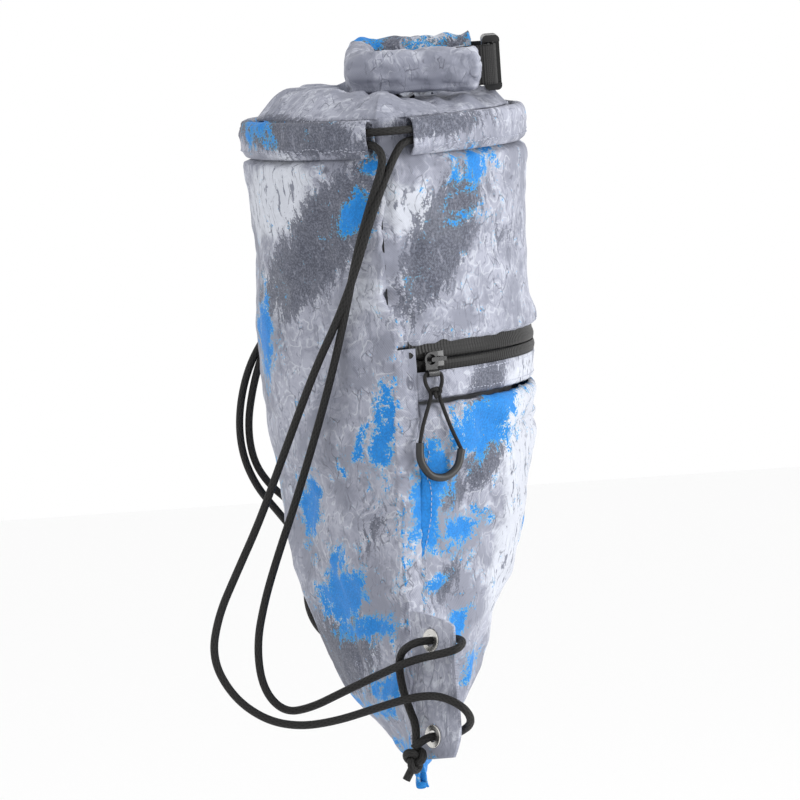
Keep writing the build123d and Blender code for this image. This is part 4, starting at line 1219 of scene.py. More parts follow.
# %% Pull loop
PULL_EYE = -0.0041
PULL_OUT = 0.0036
PULL_DROP = 0.0085
PULL_TILT = math.tan(math.radians(5))
PULL_CORD, PULL_GRIP = 0.0024, 0.00496                # diameters
SLIDER_TURN = math.radians(-58.128)
PULL_LOOP = ((-15, -50), (-12, -41), (-7, -30.5), (-2.4, -21.5), (-6.2, -14.7), (-6.2, -8.5),
             (6.2, -8.5), (6.2, -14.7), (2.4, -21.5), (5.6, -33.5), (9.4, -45), (14.4, -57))
GRIP_LINE = ((-15, -50), (-16.6, -61), (-10, -71.5), (1, -73.5), (11, -67.5), (14.4, -57))


def hung(points, out=0.0):
    """Loop points, along and up in millimetres, as points in space."""
    placed = []
    for along, up in points:
        x = ZIP_RADIUS + PULL_OUT - PULL_TILT * (up / 1000 + PULL_DROP) + out
        y = PULL_EYE + along / 1000
        placed.append((ZIP_CENTRE + x * math.cos(SLIDER_TURN) - y * math.sin(SLIDER_TURN),
                       x * math.sin(SLIDER_TURN) + y * math.cos(SLIDER_TURN),
                       ZIP_LEVEL + up / 1000))
    return placed


def rounded_line(points, share=0.45, arc=10):
    """The polyline with each inner corner replaced by a tangent arc."""
    points = [np.array(p) for p in points]
    line = [points[0]]
    for before, corner, after in zip(points, points[1:], points[2:]):
        reach = share * min(np.linalg.norm(corner - before), np.linalg.norm(after - corner))
        start = corner + (before - corner) / np.linalg.norm(before - corner) * reach
        end = corner + (after - corner) / np.linalg.norm(after - corner) * reach
        for k in range(arc + 1):
            t = k / arc
            line.append((1 - t)**2 * start + 2 * t * (1 - t) * corner + t**2 * end)
    line.append(points[-1])
    return np.array(line)


pull_line = rounded_line(hung(PULL_LOOP))
pull_cord, pull_line = tube("zip_pull_braid", pull_line, PULL_CORD / 2, around=12,
                            spacing=0.0008)
grip_line = rounded_line(hung(GRIP_LINE))
grip, _ = tube("zip_pull_grip_moulded", grip_line, PULL_GRIP / 2, around=20, spacing=0.0007)
knot_spot = hung([(0, -20)], out=0.0012)[0]
pull_knot = knot_piece("zip_pull_knot_braid", (0, 0, 0), (0.00105, 0.00115, 0.00105), 0.00118)
pull_knot.data.transform(Matrix.Translation(knot_spot)
                         @ Matrix.Rotation(SLIDER_TURN + math.pi / 2, 4, "Z"))
print("pull loop", round(np.linalg.norm(np.diff(pull_line, axis=0), axis=1).sum(), 4), "m")

# %% [markdown]
# ## The print
#
# The cloth carries a printed rock face: pale stone with dark cracks, with patches of bright
# blue and of slate. Where the patches lie is written on the mesh as three attributes, given
# one by one for the left half of the bag and scattered by a noise elsewhere. How their edges
# break up is left to the shader.
# The pale attribute also holds a painted highlight along the front edge of the pocket, where the
# strong light from the front falls.

# %% Where the patches lie
# Each patch: forward place, height above the bag's foot, half length, half width, turn in
# degrees from level, strength.
BLUE_PATCHES = (
    (-0.079, 0.408, 0.013, 0.012, 80, 0.85), (-0.011, 0.381, 0.012, 0.006, 20, 0.62),
    (-0.023, 0.350, 0.014, 0.010, 60, 0.95), (0.054, 0.375, 0.018, 0.012, 60, 0.85),
    (0.046, 0.345, 0.013, 0.006, 10, 0.70), (-0.085, 0.272, 0.026, 0.007, 85, 0.90),
    (-0.011, 0.222, 0.045, 0.010, 78, 0.80), (-0.030, 0.210, 0.020, 0.006, 60, 0.60),
    (0.008, 0.172, 0.034, 0.013, 76, 1.25), (0.048, 0.214, 0.024, 0.016, 40, 1.00),
    (0.060, 0.228, 0.016, 0.010, 20, 0.95), (0.030, 0.150, 0.016, 0.010, 30, 0.80),
    (-0.045, 0.112, 0.020, 0.013, 60, 1.10), (-0.030, 0.095, 0.022, 0.008, 20, 0.95),
    (-0.063, 0.165, 0.026, 0.007, 85, 0.85), (-0.048, 0.135, 0.018, 0.006, 70, 0.75),
    (-0.020, 0.060, 0.020, 0.008, 40, 0.85), (-0.034, 0.040, 0.018, 0.007, 20, 0.75),
    (0.024, 0.090, 0.014, 0.007, 70, 0.90), (0.010, 0.118, 0.012, 0.006, 30, 0.70),
    (-0.006, 0.010, 0.018, 0.014, 80, 1.00), (0.030, 0.060, 0.012, 0.006, 60, 0.70))
DARK_PATCHES = (
    (-0.045, 0.335, 0.062, 0.022, 53, 1.15), (0.029, 0.332, 0.055, 0.020, 62, 1.05),
    (-0.060, 0.404, 0.042, 0.012, 170, 0.95), (0.030, 0.404, 0.040, 0.010, 0, 0.70),
    (-0.054, 0.070, 0.040, 0.030, 70, 0.85), (0.052, 0.235, 0.022, 0.010, 70, 0.95),
    (0.048, 0.192, 0.022, 0.012, 60, 1.00), (0.028, 0.176, 0.016, 0.012, 70, 0.75),
    (0.012, 0.205, 0.014, 0.007, 30, 0.60), (-0.025, 0.155, 0.026, 0.012, 60, 0.55),
    (0.070, 0.330, 0.016, 0.030, 90, 0.45), (0.020, 0.120, 0.022, 0.010, 50, 0.70))
# Pale print, except the three patches at forward places 0.062 to 0.082 on the pocket's front
# edge: these are a painted highlight of the light from the front.
PALE_PRINT_AND_HIGHLIGHT_PATCHES = (
    (-0.072, 0.362, 0.030, 0.020, 60, 1.00), (-0.020, 0.300, 0.035, 0.020, 50, 0.45),
    (0.012, 0.352, 0.016, 0.034, 60, 0.80), (0.082, 0.190, 0.060, 0.020, 88, 1.50),
    (0.062, 0.115, 0.050, 0.015, 80, 1.20), (0.074, 0.236, 0.014, 0.010, 90, 0.90),
    (-0.076, 0.300, 0.030, 0.012, 85, 0.55), (0.006, 0.300, 0.045, 0.010, 88, 0.35))


def patch_share(x, height, patches):
    total = np.zeros(len(x))
    for px, ph, long, wide, turn, strength in patches:
        c, s = math.cos(math.radians(turn)), math.sin(math.radians(turn))
        along = (x - px) * c + (height - ph) * s
        across = -(x - px) * s + (height - ph) * c
        total = np.maximum(total, strength * np.exp(-((along / long) ** 2
                                                      + (across / wide) ** 2) * 0.9))
    return total


def paint_patches(piece, blue=0.0, dark=0.0, pale=0.0):
    """Writes the three patch attributes; the numbers add to them all over the piece."""
    points = vertex_array(piece)
    x, height = points[:, 0], points[:, 2] - FOOT
    near = np.clip(0.5 - points[:, 1] / 0.05, 0, 1)
    scattered = {"blue": (21.0, 0.047, 0.20, 0.20), "dark": (33.0, 0.062, 0.10, 0.22),
                 "pale": (47.0, 0.070, 0.05, 0.22)}
    for name, patches, more in (("blue", BLUE_PATCHES, blue), ("dark", DARK_PATCHES, dark),
                                ("pale", PALE_PRINT_AND_HIGHLIGHT_PATCHES, pale)):
        seed, size, level, spread = scattered[name]
        placed = patch_share(x, height, patches)
        loose = np.clip((ripple(points, size, seed) - level) / spread, 0, 1.1) * 0.9
        loose *= 0.75 + 0.5 * ripple(points, size / 3, seed + 2)
        share = near * placed + (1 - near) * loose
        attribute = piece.data.attributes.new(name, "FLOAT", "POINT")
        attribute.data.foreach_set("value", (share + more).astype(np.float32))


# %% [markdown]
# The shader of the print is one node group, so that every cloth uses the same ink. It takes
# the patch attributes and gives a colour and a height for the weave. Plain stone comes from
# stretched noise; contour lines through it look like marbled veins; the borders of cells
# make cracks; and small dots stand in for grit.

# %% Ink of the print
STONE = (0.415, 0.430, 0.515)
GREY = (0.262, 0.275, 0.340)
SLATE = (0.150, 0.162, 0.212)
NIGHT = (0.050, 0.056, 0.082)
CRACK = (0.052, 0.056, 0.085)
CHALK = (0.700, 0.730, 0.800)
AZURE = (0.0, 0.235, 0.730)
AQUA = (0.090, 0.440, 0.660)


def ink(*colour):
    return (*colour, 1)


def print_group():
    tree = bpy.data.node_groups.new("rock print", "ShaderNodeTree")
    for name, kind, way in (("Blue", "NodeSocketFloat", "INPUT"),
                            ("Dark", "NodeSocketFloat", "INPUT"),
                            ("Pale", "NodeSocketFloat", "INPUT"),
                            ("Where", "NodeSocketVector", "INPUT"),
                            ("Colour", "NodeSocketColor", "OUTPUT"),
                            ("Cracks", "NodeSocketFloat", "OUTPUT")):
        tree.interface.new_socket(name=name, in_out=way, socket_type=kind)
    given = tree.nodes.new("NodeGroupInput")
    result = tree.nodes.new("NodeGroupOutput")
    where = given.outputs["Where"]
    warp = add(tree, "ShaderNodeTexNoise", {"Vector": where, "Scale": 42.0, "Detail": 3.0})
    push = add(tree, "ShaderNodeVectorMath", {0: warp.outputs["Color"], 1: (0.5, 0.5, 0.5)},
               operation="SUBTRACT")
    moved = add(tree, "ShaderNodeVectorMath", {0: push.outputs[0], "Scale": 0.014},
                operation="SCALE")
    bent = add(tree, "ShaderNodeVectorMath", {0: where, 1: moved.outputs[0]},
               operation="ADD").outputs[0]
    drawn = add(tree, "ShaderNodeVectorMath", {0: bent, 1: (1.0, 1.0, 0.30)},
                operation="MULTIPLY").outputs[0]
    broad = grey_noise(tree, bent, 24.0, 4.0, 0.60)
    blotch = grey_noise(tree, bent, 75.0, 5.0, 0.66)
    grain = grey_noise(tree, where, 820.0, 2.0, 0.60)
    streak = grey_noise(tree, drawn, 240.0, 4.0, 0.62)
    # Stone: two greys by a broad noise, with softer blotches on top.
    level = plus(tree, times(tree, broad, 0.55), times(tree, blotch, 0.45))
    stone = blend_colour(tree, step(tree, level, 0.42, 0.56), ink(*GREY), ink(*STONE))
    highlights = times(tree, step(tree, blotch, 0.56, 0.66), 0.35)
    stone = blend_colour(tree, highlights, stone, ink(*CHALK))
    # Marbled veins: thin bands where a noise crosses certain levels.
    folds = sums(tree, "FRACT", times(tree, grey_noise(tree, bent, 52.0, 2.5, 0.5), 7.0))
    line = sums(tree, "ABSOLUTE", sums(tree, "SUBTRACT", folds, 0.5))
    vein_dark = times(tree, inverse(tree, step(tree, line, 0.02, 0.16)),
                      step(tree, blotch, 0.44, 0.56))
    vein_pale = times(tree, step(tree, line, 0.38, 0.47), step(tree, broad, 0.42, 0.55))
    stone = blend_colour(tree, times(tree, vein_pale, 0.45), stone, ink(*CHALK))
    stone = blend_colour(tree, times(tree, vein_dark, 0.42), stone, ink(*SLATE))
    # Pale patches: pale print, and a painted highlight along the pocket's front edge; dark
    # dribbles run down through them.
    pale = plus(tree, given.outputs["Pale"], swing(tree, blotch, 1.0))
    pale = step(tree, pale, 0.26, 0.62)
    stone = blend_colour(tree, times(tree, pale, 0.72), stone, ink(*CHALK))
    dribble = times(tree, step(tree, streak, 0.575, 0.625),
                    plus(tree, 0.42, times(tree, pale, 0.45)))
    stone = blend_colour(tree, dribble, stone, ink(*SLATE))
    cells = add(tree, "ShaderNodeTexVoronoi", {"Vector": drawn, "Scale": 140.0},
                feature="DISTANCE_TO_EDGE")
    crack = times(tree, inverse(tree, step(tree, cells.outputs["Distance"], 0.008, 0.040)),
                  step(tree, blotch, 0.47, 0.56))
    stone = blend_colour(tree, times(tree, crack, 0.60), stone, ink(*CRACK))
    # Slate patches: streaked edges, flecked inside.
    dark = plus(tree, given.outputs["Dark"], swing(tree, streak, 1.3))
    dark = plus(tree, dark, swing(tree, grain, 0.8))
    flecks = blend_colour(tree, step(tree, grain, 0.40, 0.66), ink(*NIGHT), ink(*SLATE))
    light_flecks = times(tree, step(tree, streak, 0.56, 0.68), 0.35)
    flecks = blend_colour(tree, light_flecks, flecks, ink(*STONE))
    stone = blend_colour(tree, times(tree, step(tree, dark, 0.42, 0.56), 0.90), stone, flecks)
    # Blue patches, grainy at their borders, with a thin paler rim.
    blue = plus(tree, given.outputs["Blue"], swing(tree, blotch, 2.4))
    blue = plus(tree, blue, swing(tree, grain, 1.3))
    rim = step(tree, blue, 0.44, 0.52)
    body = step(tree, blue, 0.52, 0.60)
    paint = blend_colour(tree, times(tree, rim, 0.85), stone, ink(*AQUA))
    wet = blend_colour(tree, step(tree, grain, 0.35, 0.62), ink(*(0.72 * v for v in AZURE)),
                       ink(*AZURE))
    paint = blend_colour(tree, times(tree, body, 0.96), paint, wet)
    tree.links.new(paint, result.inputs["Colour"])
    tree.links.new(plus(tree, crack, vein_dark), result.inputs["Cracks"])
    return tree


def weave_group():
    """Height of a twill: slanted ribs with a crossing thread, on a UV in metres."""
    tree = bpy.data.node_groups.new("twill", "ShaderNodeTree")
    for name, kind, way in (("Cloth", "NodeSocketVector", "INPUT"),
                            ("Pitch", "NodeSocketFloat", "INPUT"),
                            ("Height", "NodeSocketFloat", "OUTPUT")):
        tree.interface.new_socket(name=name, in_out=way, socket_type=kind)
    given = tree.nodes.new("NodeGroupInput")
    result = tree.nodes.new("NodeGroupOutput")
    parts = add(tree, "ShaderNodeSeparateXYZ", {0: given.outputs["Cloth"]})
    rate = sums(tree, "DIVIDE", 2 * math.pi, given.outputs["Pitch"])
    slant = plus(tree, parts.outputs[0], times(tree, parts.outputs[1], 0.8))
    ribs = sums(tree, "SINE", times(tree, slant, rate))
    cross = sums(tree, "SINE", times(tree, parts.outputs[1], times(tree, rate, 1.9)))
    total = plus(tree, times(tree, ribs, 0.32), times(tree, cross, 0.14))
    tree.links.new(plus(tree, total, 0.5), result.inputs["Height"])
    return tree


ROCK, TWILL = print_group(), weave_group()


def cloth_uv(tree):
    return add(tree, "ShaderNodeUVMap", uv_map="cloth").outputs[0]


def print_material(name, pitch=0.0013, tint=0.83):
    material, tree, shader = new_material(name, STONE, 0.72, sheen=0.04)
    shader.inputs["Specular IOR Level"].default_value = 0.38
    place = add(tree, "ShaderNodeTexCoord").outputs["Object"]
    rock = add(tree, "ShaderNodeGroup", node_tree=ROCK)
    for socket, attribute in (("Blue", "blue"), ("Dark", "dark"), ("Pale", "pale")):
        value = add(tree, "ShaderNodeAttribute", attribute_name=attribute)
        tree.links.new(value.outputs["Fac"], rock.inputs[socket])
    tree.links.new(place, rock.inputs["Where"])
    weave = add(tree, "ShaderNodeGroup", {"Cloth": cloth_uv(tree), "Pitch": pitch},
                node_tree=TWILL)
    # The twill's height also sets the colour, darker in its grooves and lighter on its ribs:
    # painted shade and highlight of the weave.
    shade = add(tree, "ShaderNodeMapRange", {0: weave.outputs["Height"], 3: 0.84 * tint,
                                             4: 1.10 * tint})
    painted_weave_shade = add(tree, "ShaderNodeCombineColor", {0: shade.outputs[0], 1: shade.outputs[0],
                                                2: shade.outputs[0]})
    colour = blend_colour(tree, 1.0, rock.outputs["Colour"], painted_weave_shade.outputs[0], "MULTIPLY")
    tree.links.new(colour, shader.inputs["Base Color"])
    bumps = sums(tree, "SUBTRACT", weave.outputs["Height"],
                 times(tree, rock.outputs["Cracks"], 0.2))
    emboss(tree, shader, bumps, 0.35, 0.00025)
    rough = add(tree, "ShaderNodeMapRange", {0: grey_noise(tree, place, 60.0), 3: 0.60,
                                             4: 0.82})
    tree.links.new(rough.outputs[0], shader.inputs["Roughness"])
    return material


shell_fabric = print_material("printed cloth")
fine_fabric = print_material("printed lining cloth", pitch=0.0010, tint=0.86)
print("print ready")

# %% [markdown]
# ## The other materials
#
# Cord and webbing get their braid and ribs from their UV maps. Plastic, metal and rubber are
# near black with different sharpness of reflection.

# %% Cord, webbing and film
BRAID_STRANDS = 8                     # strands that run each way round a cord
CROSS_RIB = 0.7                       # pitch of the crossing ribs to that of the main ones


def braid_material(name, base, pitch):
    """Two spirals of strands that cross; pitch is turns in one circumference of length."""
    material, tree, shader = new_material(name, base, 0.62)
    shader.inputs["Specular IOR Level"].default_value = 0.3
    parts = add(tree, "ShaderNodeSeparateXYZ", {0: cloth_uv(tree)})
    around_cord = times(tree, parts.outputs[0], 2 * math.pi * BRAID_STRANDS)
    along_cord = times(tree, parts.outputs[1], 2 * math.pi * pitch)
    one = sums(tree, "SINE", plus(tree, around_cord, along_cord))
    two = sums(tree, "SINE", sums(tree, "SUBTRACT", around_cord, along_cord))
    braid = sums(tree, "MAXIMUM", one, two)
    # The colour follows the braid's relief, darker in the grooves between strands and lighter on
    # their crests: painted shade and highlight.
    colour = blend_colour(tree, step(tree, braid, -0.2, 0.9),
                          ink(*(0.45 * v for v in base)), ink(*(1.5 * v for v in base)))
    tree.links.new(colour, shader.inputs["Base Color"])
    emboss(tree, shader, braid, 0.6, 0.0003)
    return material


def ribbed_material(name, base, axis, rate, roughness=0.6, depth=0.5):
    """Ribs across one axis of the UV, rate metres apart, with fainter ones across them."""
    material, tree, shader = new_material(name, base, roughness)
    shader.inputs["Specular IOR Level"].default_value = 0.25
    parts = add(tree, "ShaderNodeSeparateXYZ", {0: cloth_uv(tree)})
    ribs = sums(tree, "SINE", times(tree, parts.outputs[axis], 2 * math.pi / rate))
    cross = sums(tree, "SINE", times(tree, parts.outputs[1 - axis],
                                     2 * math.pi / (rate * CROSS_RIB)))
    height = plus(tree, ribs, times(tree, cross, 0.35))
    # The colour follows the ribs' relief, darker between the ribs and lighter on their tops:
    # painted shade and highlight.
    colour = blend_colour(tree, step(tree, height, -0.8, 0.9),
                          ink(*(0.6 * v for v in base)), ink(*(1.35 * v for v in base)))
    tree.links.new(colour, shader.inputs["Base Color"])
    emboss(tree, shader, height, depth, 0.0003)
    return material


cord_braid = braid_material("black braid", (0.0085, 0.0080, 0.0078), 3.2)
thin_braid = braid_material("thin black braid", (0.0080, 0.0075, 0.0073), 3.0)
webbing_cloth = ribbed_material("black webbing", (0.0095, 0.0092, 0.0095), 1, 0.0018)
zip_film_cloth = ribbed_material("zip film", (0.0062, 0.0060, 0.0060), 0, 0.0024,
                                 roughness=0.42, depth=0.3)


# %% Solid materials
def solid_material(name, base, roughness, metallic=0.0, coat=0.0, grain=0.0, scale=600.0):
    """A hard surface whose polish varies a little; grain embosses it."""
    material, tree, shader = new_material(name, base, roughness, metallic, coat)
    place = add(tree, "ShaderNodeTexCoord").outputs["Object"]
    worn = grey_noise(tree, place, 90.0, 3.0)
    rough = add(tree, "ShaderNodeMapRange", {0: worn, 3: roughness * 0.8,
                                             4: min(1.0, roughness * 1.25)})
    tree.links.new(rough.outputs[0], shader.inputs["Roughness"])
    tone = blend_colour(tree, step(tree, worn, 0.3, 0.7), ink(*(0.85 * v for v in base)),
                        ink(*(1.12 * v for v in base)))
    tree.links.new(tone, shader.inputs["Base Color"])
    if grain:
        emboss(tree, shader, grey_noise(tree, place, scale, 3.0), grain, 0.0001)
    return material


black_plastic = solid_material("buckle plastic", (0.012, 0.012, 0.0125), 0.32, grain=0.25)
black_rubber = solid_material("moulded grip", (0.011, 0.011, 0.0115), 0.42, grain=0.15)
black_metal = solid_material("black enamel", (0.014, 0.014, 0.015), 0.26, 0.35, coat=0.3)
nickel = solid_material("nickel", (0.56, 0.55, 0.53), 0.24, 1.0)
coil_plastic = solid_material("coil", (0.014, 0.014, 0.014), 0.4)
stiff_plastic = solid_material("stiffener", (0.35, 0.36, 0.38), 0.5)
dark_lining = solid_material("coated lining", (0.16, 0.165, 0.18), 0.55, grain=0.2,
                             scale=900.0)
thread = solid_material("thread", (0.40, 0.42, 0.50), 0.7)


def dress(piece, material):
    piece.data.materials.clear()
    piece.data.materials.append(material)


for piece in (back_cloth, front_upper_cloth, pocket_cloth, band_cloth, hem,
              *strip_cloths.values(), *channels.values(), *tabs.values()):
    dress(piece, shell_fabric)
for piece in (collar, roll):
    dress(piece, fine_fabric)
paint_patches(back_cloth)
paint_patches(front_upper_cloth)
paint_patches(pocket_cloth, blue=0.05)
paint_patches(band_cloth, dark=0.12, blue=-0.5)
paint_patches(hem, blue=0.10)
for side, piece in strip_cloths.items():
    paint_patches(piece, blue=-0.30, dark=-0.5)
paint_patches(channels["front"], dark=0.10, blue=-0.1)
paint_patches(channels["back"], dark=0.22)
paint_patches(collar, dark=-0.1, blue=-0.7)
paint_patches(roll, blue=-0.7, pale=0.1)
# The far side of the roll shows a slate and blue part of the print.
on_roll = vertex_array(roll)
far_side = np.clip((on_roll[:, 1] - 0.015) / 0.03, 0, 1)
for name, level, seed in (("blue", 0.42, 71.0), ("dark", 0.62, 72.0)):
    old = np.zeros(len(on_roll), np.float32)
    roll.data.attributes[name].data.foreach_get("value", old)
    new = old * (1 - far_side) + far_side * (level + 0.6 * ripple(on_roll, 0.022, seed))
    roll.data.attributes[name].data.foreach_set("value", new.astype(np.float32))
for piece in tabs.values():
    paint_patches(piece, blue=-0.2, pale=0.25, dark=-0.4)
for piece in (*drawcords.values(), *knots.values()):
    dress(piece, cord_braid)
for piece in (pull_cord, pull_knot):
    dress(piece, thin_braid)
dress(grip, black_rubber)
for piece in webbing.values():
    dress(piece, webbing_cloth)
for piece in zip_films.values():
    dress(piece, zip_film_cloth)
print(len(bpy.data.materials), "materials")

# %% [markdown]
# ## Stitches
#
# Hundreds of equal stitches are a job for Geometry Nodes. One tree turns any sewing line into
# short threads: the line is cut to a fixed pitch, a small capsule is placed at every point
# and turned along the line. The lines themselves are laid on the cloth's outer face.

# %% Stitch tree
def stitch_tree():
    tree = bpy.data.node_groups.new("stitches", "GeometryNodeTree")
    for name, kind, way, value in (
            ("Geometry", "NodeSocketGeometry", "INPUT", None),
            ("Pitch", "NodeSocketFloat", "INPUT", 0.0034),
            ("Length", "NodeSocketFloat", "INPUT", 0.0024),
            ("Thickness", "NodeSocketFloat", "INPUT", 0.0005),
            ("Material", "NodeSocketMaterial", "INPUT", None),
            ("Geometry", "NodeSocketGeometry", "OUTPUT", None)):
        socket = tree.interface.new_socket(name=name, in_out=way, socket_type=kind)
        if value is not None:
            socket.default_value = value
    given = tree.nodes.new("NodeGroupInput")
    result = tree.nodes.new("NodeGroupOutput")
    curve = add(tree, "GeometryNodeMeshToCurve", {0: given.outputs["Geometry"]})
    cut = tree.nodes.new("GeometryNodeResampleCurve")
    cut.mode = "LENGTH"
    tree.links.new(curve.outputs[0], cut.inputs["Curve"])
    tree.links.new(given.outputs["Pitch"], cut.inputs["Length"])
    along = tree.nodes.new("GeometryNodeInputTangent")
    turn = add(tree, "FunctionNodeAlignRotationToVector", {"Vector": along.outputs[0]},
               axis="X")
    ball = add(tree, "GeometryNodeMeshUVSphere", {"Segments": 8, "Rings": 6, "Radius": 0.5})
    size = add(tree, "ShaderNodeCombineXYZ", {
        0: given.outputs["Length"], 1: given.outputs["Thickness"],
        2: given.outputs["Thickness"]})
    placed = add(tree, "GeometryNodeInstanceOnPoints", {
        "Points": cut.outputs[0], "Instance": ball.outputs[0], "Rotation": turn.outputs[0],
        "Scale": size.outputs[0]})
    real = add(tree, "GeometryNodeRealizeInstances", {0: placed.outputs[0]})
    dressed = add(tree, "GeometryNodeSetMaterial", {
        "Geometry": real.outputs[0], "Material": given.outputs["Material"]})
    tree.links.new(dressed.outputs[0], result.inputs[0])
    return tree


STITCHES = stitch_tree()


def on_face(piece, guesses, lift):
    """The nearest points of a piece's face, lifted off it a little."""
    piece_tree = BVHTree.FromPolygons([v.co for v in piece.data.vertices],
                                      [p.vertices for p in piece.data.polygons])
    laid = []
    for guess in guesses:
        spot = piece_tree.find_nearest(Vector(guess))[0]
        away = (Vector(guess) - spot).normalized()
        laid.append(spot + away * lift)
    return laid


def sewn_line(name, lines):
    """Stitches along several lines of points, as one plain mesh."""
    points, edges = [], []
    for line in lines:
        first = len(points)
        points += [tuple(p) for p in line]
        edges += [(k, k + 1) for k in range(first, len(points) - 1)]
    mesh = bpy.data.meshes.new(name)
    mesh.from_pydata(points, edges, [])
    piece = bpy.data.objects.new(name, mesh)
    scene.collection.objects.link(piece)
    nodes = piece.modifiers.new("stitches", "NODES")
    nodes.node_group = STITCHES
    for socket in STITCHES.interface.items_tree:
        if socket.in_out == "INPUT" and socket.name == "Material":
            nodes[socket.identifier] = thread
    baked(piece)
    piece.data.shade_smooth()
    dress(piece, thread)
    print(name, "has", len(piece.data.polygons) // 48, "stitches")
    return piece


# %% Sewing lines
def panel_guess(side, share, height):
    return skin(side, share, height, depth=-0.012)


shares = np.linspace(STRIP / COLUMNS + 0.004, 1 - STRIP / COLUMNS - 0.004, 220)
full = np.linspace(0.012, 0.988, 240)
channel_lines = []
for side in (1, -1):
    centre, radius, gap = MOUTH[side]
    limit = (mouth_limit(centre) - gap / radius) * 0.985
    guesses = [(centre + side * (radius + 0.02) * math.cos(a), (radius + 0.02) * math.sin(a),
                -0.0468) for a in np.linspace(-limit, limit, 240)]
    channel_lines.append(on_face(channels["front" if side > 0 else "back"], guesses, 0.0002))
channel_stitches = sewn_line("channel_stitches", channel_lines)
zip_stitches = sewn_line("zip_stitches", [
    on_face(front_upper_cloth, [panel_guess(1, s, ZIP_HIGH + 0.0026) for s in full], 0.0001),
    on_face(band_cloth, [panel_guess(1, s, ZIP_LOW - 0.0024) for s in shares], 0.0001),
    on_face(band_cloth, [panel_guess(1, s, BAND_LOW + 0.0022) for s in shares], 0.0001)])
strip_heights = np.linspace(0.022, 0.247, 150)
strip_heights = strip_heights[strip_heights < BAND_LOW - 0.001]
strip_stitches = sewn_line("pocket_side_stitches", [
    on_face(pocket_cloth, [panel_guess(1, share, h) for h in strip_heights], 0.0001)
    for share in ((STRIP + 0.5) / COLUMNS, 1 - (STRIP + 0.5) / COLUMNS)])
foot, tab_out, rise, tall = tab_frame()
tab_face = np.cross(tab_out, rise)
tab_lines = []
for across, low, high in ((0.0045, 0.06, 0.94), (0.0380, 0.24, 0.80)):
    for way in (1, -1):
        guesses = [foot + tab_out * across + rise * tall * t + tab_face * 0.01 * way
                   for t in np.linspace(low, high, 60)]
        tab_lines.append(on_face(tabs["left"], guesses, 0.0001))
tab_stitches = {"left": sewn_line("corner_tab_left_stitches", tab_lines)}
tab_stitches["right"] = mirrored(tab_stitches["left"], "corner_tab_right_stitches")
stitch_pieces = (channel_stitches, zip_stitches, strip_stitches, *tab_stitches.values())
for piece in stitch_pieces:
    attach(piece, "bag")

# %% [markdown]
# ## Hard parts kept from the frame
#
# The buckle, its prongs, the eyelets, the slider and the puller have their true shape in the
# frame already. They only need a material.

# %% Dress the frame's own parts
KEPT = {
    "buckle_socket": black_plastic, "buckle_plug": black_plastic,
    "buckle_prong_upper": black_plastic, "buckle_prong_lower": black_plastic,
    "eyelets_left": nickel, "eyelets_right": nickel, "eyelet_washers_left": nickel,
    "eyelet_washers_right": nickel, "zip_slider": black_metal, "zip_puller": black_metal,
    "zip_coil_upper": coil_plastic, "zip_coil_lower": coil_plastic,
    "zip_end_stops": coil_plastic, "collar_stiffener": stiff_plastic,
    "pocket_lining": dark_lining, "side_seam_tape_left": webbing_cloth,
    "side_seam_tape_right": webbing_cloth}
for node, material in KEPT.items():
    dress(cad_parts[node], material)
print(len(KEPT), "frame parts dressed")
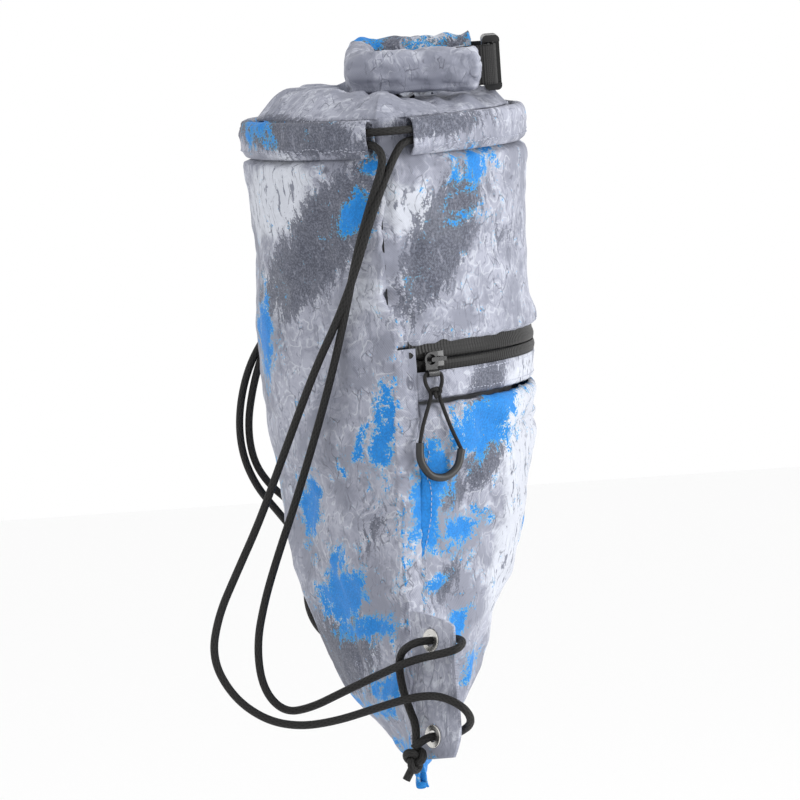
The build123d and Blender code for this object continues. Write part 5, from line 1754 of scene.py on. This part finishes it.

# %% [markdown]
# ## How the pieces ride
#
# Every piece is told which rigid body carries it, and which parts of the frame it stands
# for. The roll belongs to the bag at one end and to the buckle's plug at the other; it is
# only baked in place and carried by neither.

# %% Ride and replace
BAG = "bag"
riding = (
    (back_cloth, BAG, ("back_panel",)), (front_upper_cloth, BAG, ("front_upper_panel",)),
    (band_cloth, BAG, ("pocket_band",)), (pocket_cloth, BAG, ("pocket_panel",)),
    (strip_cloths["left"], BAG, ("side_strip_left",)),
    (strip_cloths["right"], BAG, ("side_strip_right",)), (hem, BAG, ("bottom_binding",)),
    (channels["front"], BAG, ("channel_front",)), (channels["back"], BAG, ("channel_back",)),
    (collar, BAG, ("collar",)), (webbing["right"], BAG, ("webbing_tab_right",)),
    (webbing["left"], "plug", ("webbing_tab_left",)),
    (zip_films["upper"], BAG, ("zip_tape_upper",)),
    (zip_films["lower"], BAG, ("zip_tape_lower",)),
    (tabs["left"], BAG, ("corner_tab_left",)), (tabs["right"], BAG, ("corner_tab_right",)),
    (drawcords["left"], BAG, ("drawcord_left",)),
    (drawcords["right"], BAG, ("drawcord_right",)),
    (knots["left"], BAG, ("drawcord_knot_left",)),
    (knots["right"], BAG, ("drawcord_knot_right",)),
    (pull_cord, "pull_loop", ("zip_pull_cord",)), (grip, "pull_loop", ("zip_pull_grip",)),
    (pull_knot, "pull_loop", ("zip_pull_knot",)))
for piece, body, nodes in riding:
    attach(piece, body)
    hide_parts(*nodes)
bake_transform(roll)
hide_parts("rolled_collar", "roll_free_arm")

# %% [markdown]

print("cords made")

# %% [markdown]
# ## Light
#
# A white studio: white air all round, a pale floor far below, a broad soft light from the
# left above, and a strong one from the bag's front, which puts a bright edge on the pocket.

# %% Floor and lights
FLOOR_HALF = 7.0
FLOOR_LEVEL = -1.05
FLOOR_CORNERS = ((-1, -1), (1, -1), (1, 1), (-1, 1))

paper = new_material("studio paper", (0.96, 0.96, 0.96), 0.9)[0]
floor = finish_mesh("studio_floor", [(x * FLOOR_HALF, y * FLOOR_HALF, 0)
                                     for x, y in FLOOR_CORNERS], [(0, 1, 2, 3)])
floor.matrix_world = Matrix.Translation((0, 0, FLOOR_LEVEL))
dress(floor, paper)


def soft_light(name, place, target, size, power):
    """A rectangular lamp at a place that shines towards the target."""
    data = bpy.data.lights.new(name, "AREA")
    data.shape = "RECTANGLE"
    data.size, data.size_y = size
    data.energy = power
    light = bpy.data.objects.new(name, data)
    scene.collection.objects.link(light)
    aim = (Vector(place) - Vector(target)).to_track_quat("Z", "Y")
    light.matrix_world = Matrix.Translation(place) @ aim.to_matrix().to_4x4()


middle = (0, 0, -0.22)
soft_light("key", (-1.1, -2.0, 1.0), middle, (1.3, 1.3), 7)
soft_light("front", (1.7, -0.55, 0.10), middle, (0.6, 1.6), 24)
soft_light("back fill", (-1.8, 0.2, 0.3), middle, (1.2, 1.6), 2)
soft_light("top", (0.1, 0.1, 1.7), middle, (1.2, 1.2), 2)
world = bpy.data.worlds.new("studio")
scene.world = world
world.use_nodes = True
world.node_tree.nodes["Background"].inputs[0].default_value = (1, 1, 1, 1)
world.node_tree.nodes["Background"].inputs[1].default_value = 1.0
scene.view_settings.view_transform = "Standard"
print("lit")
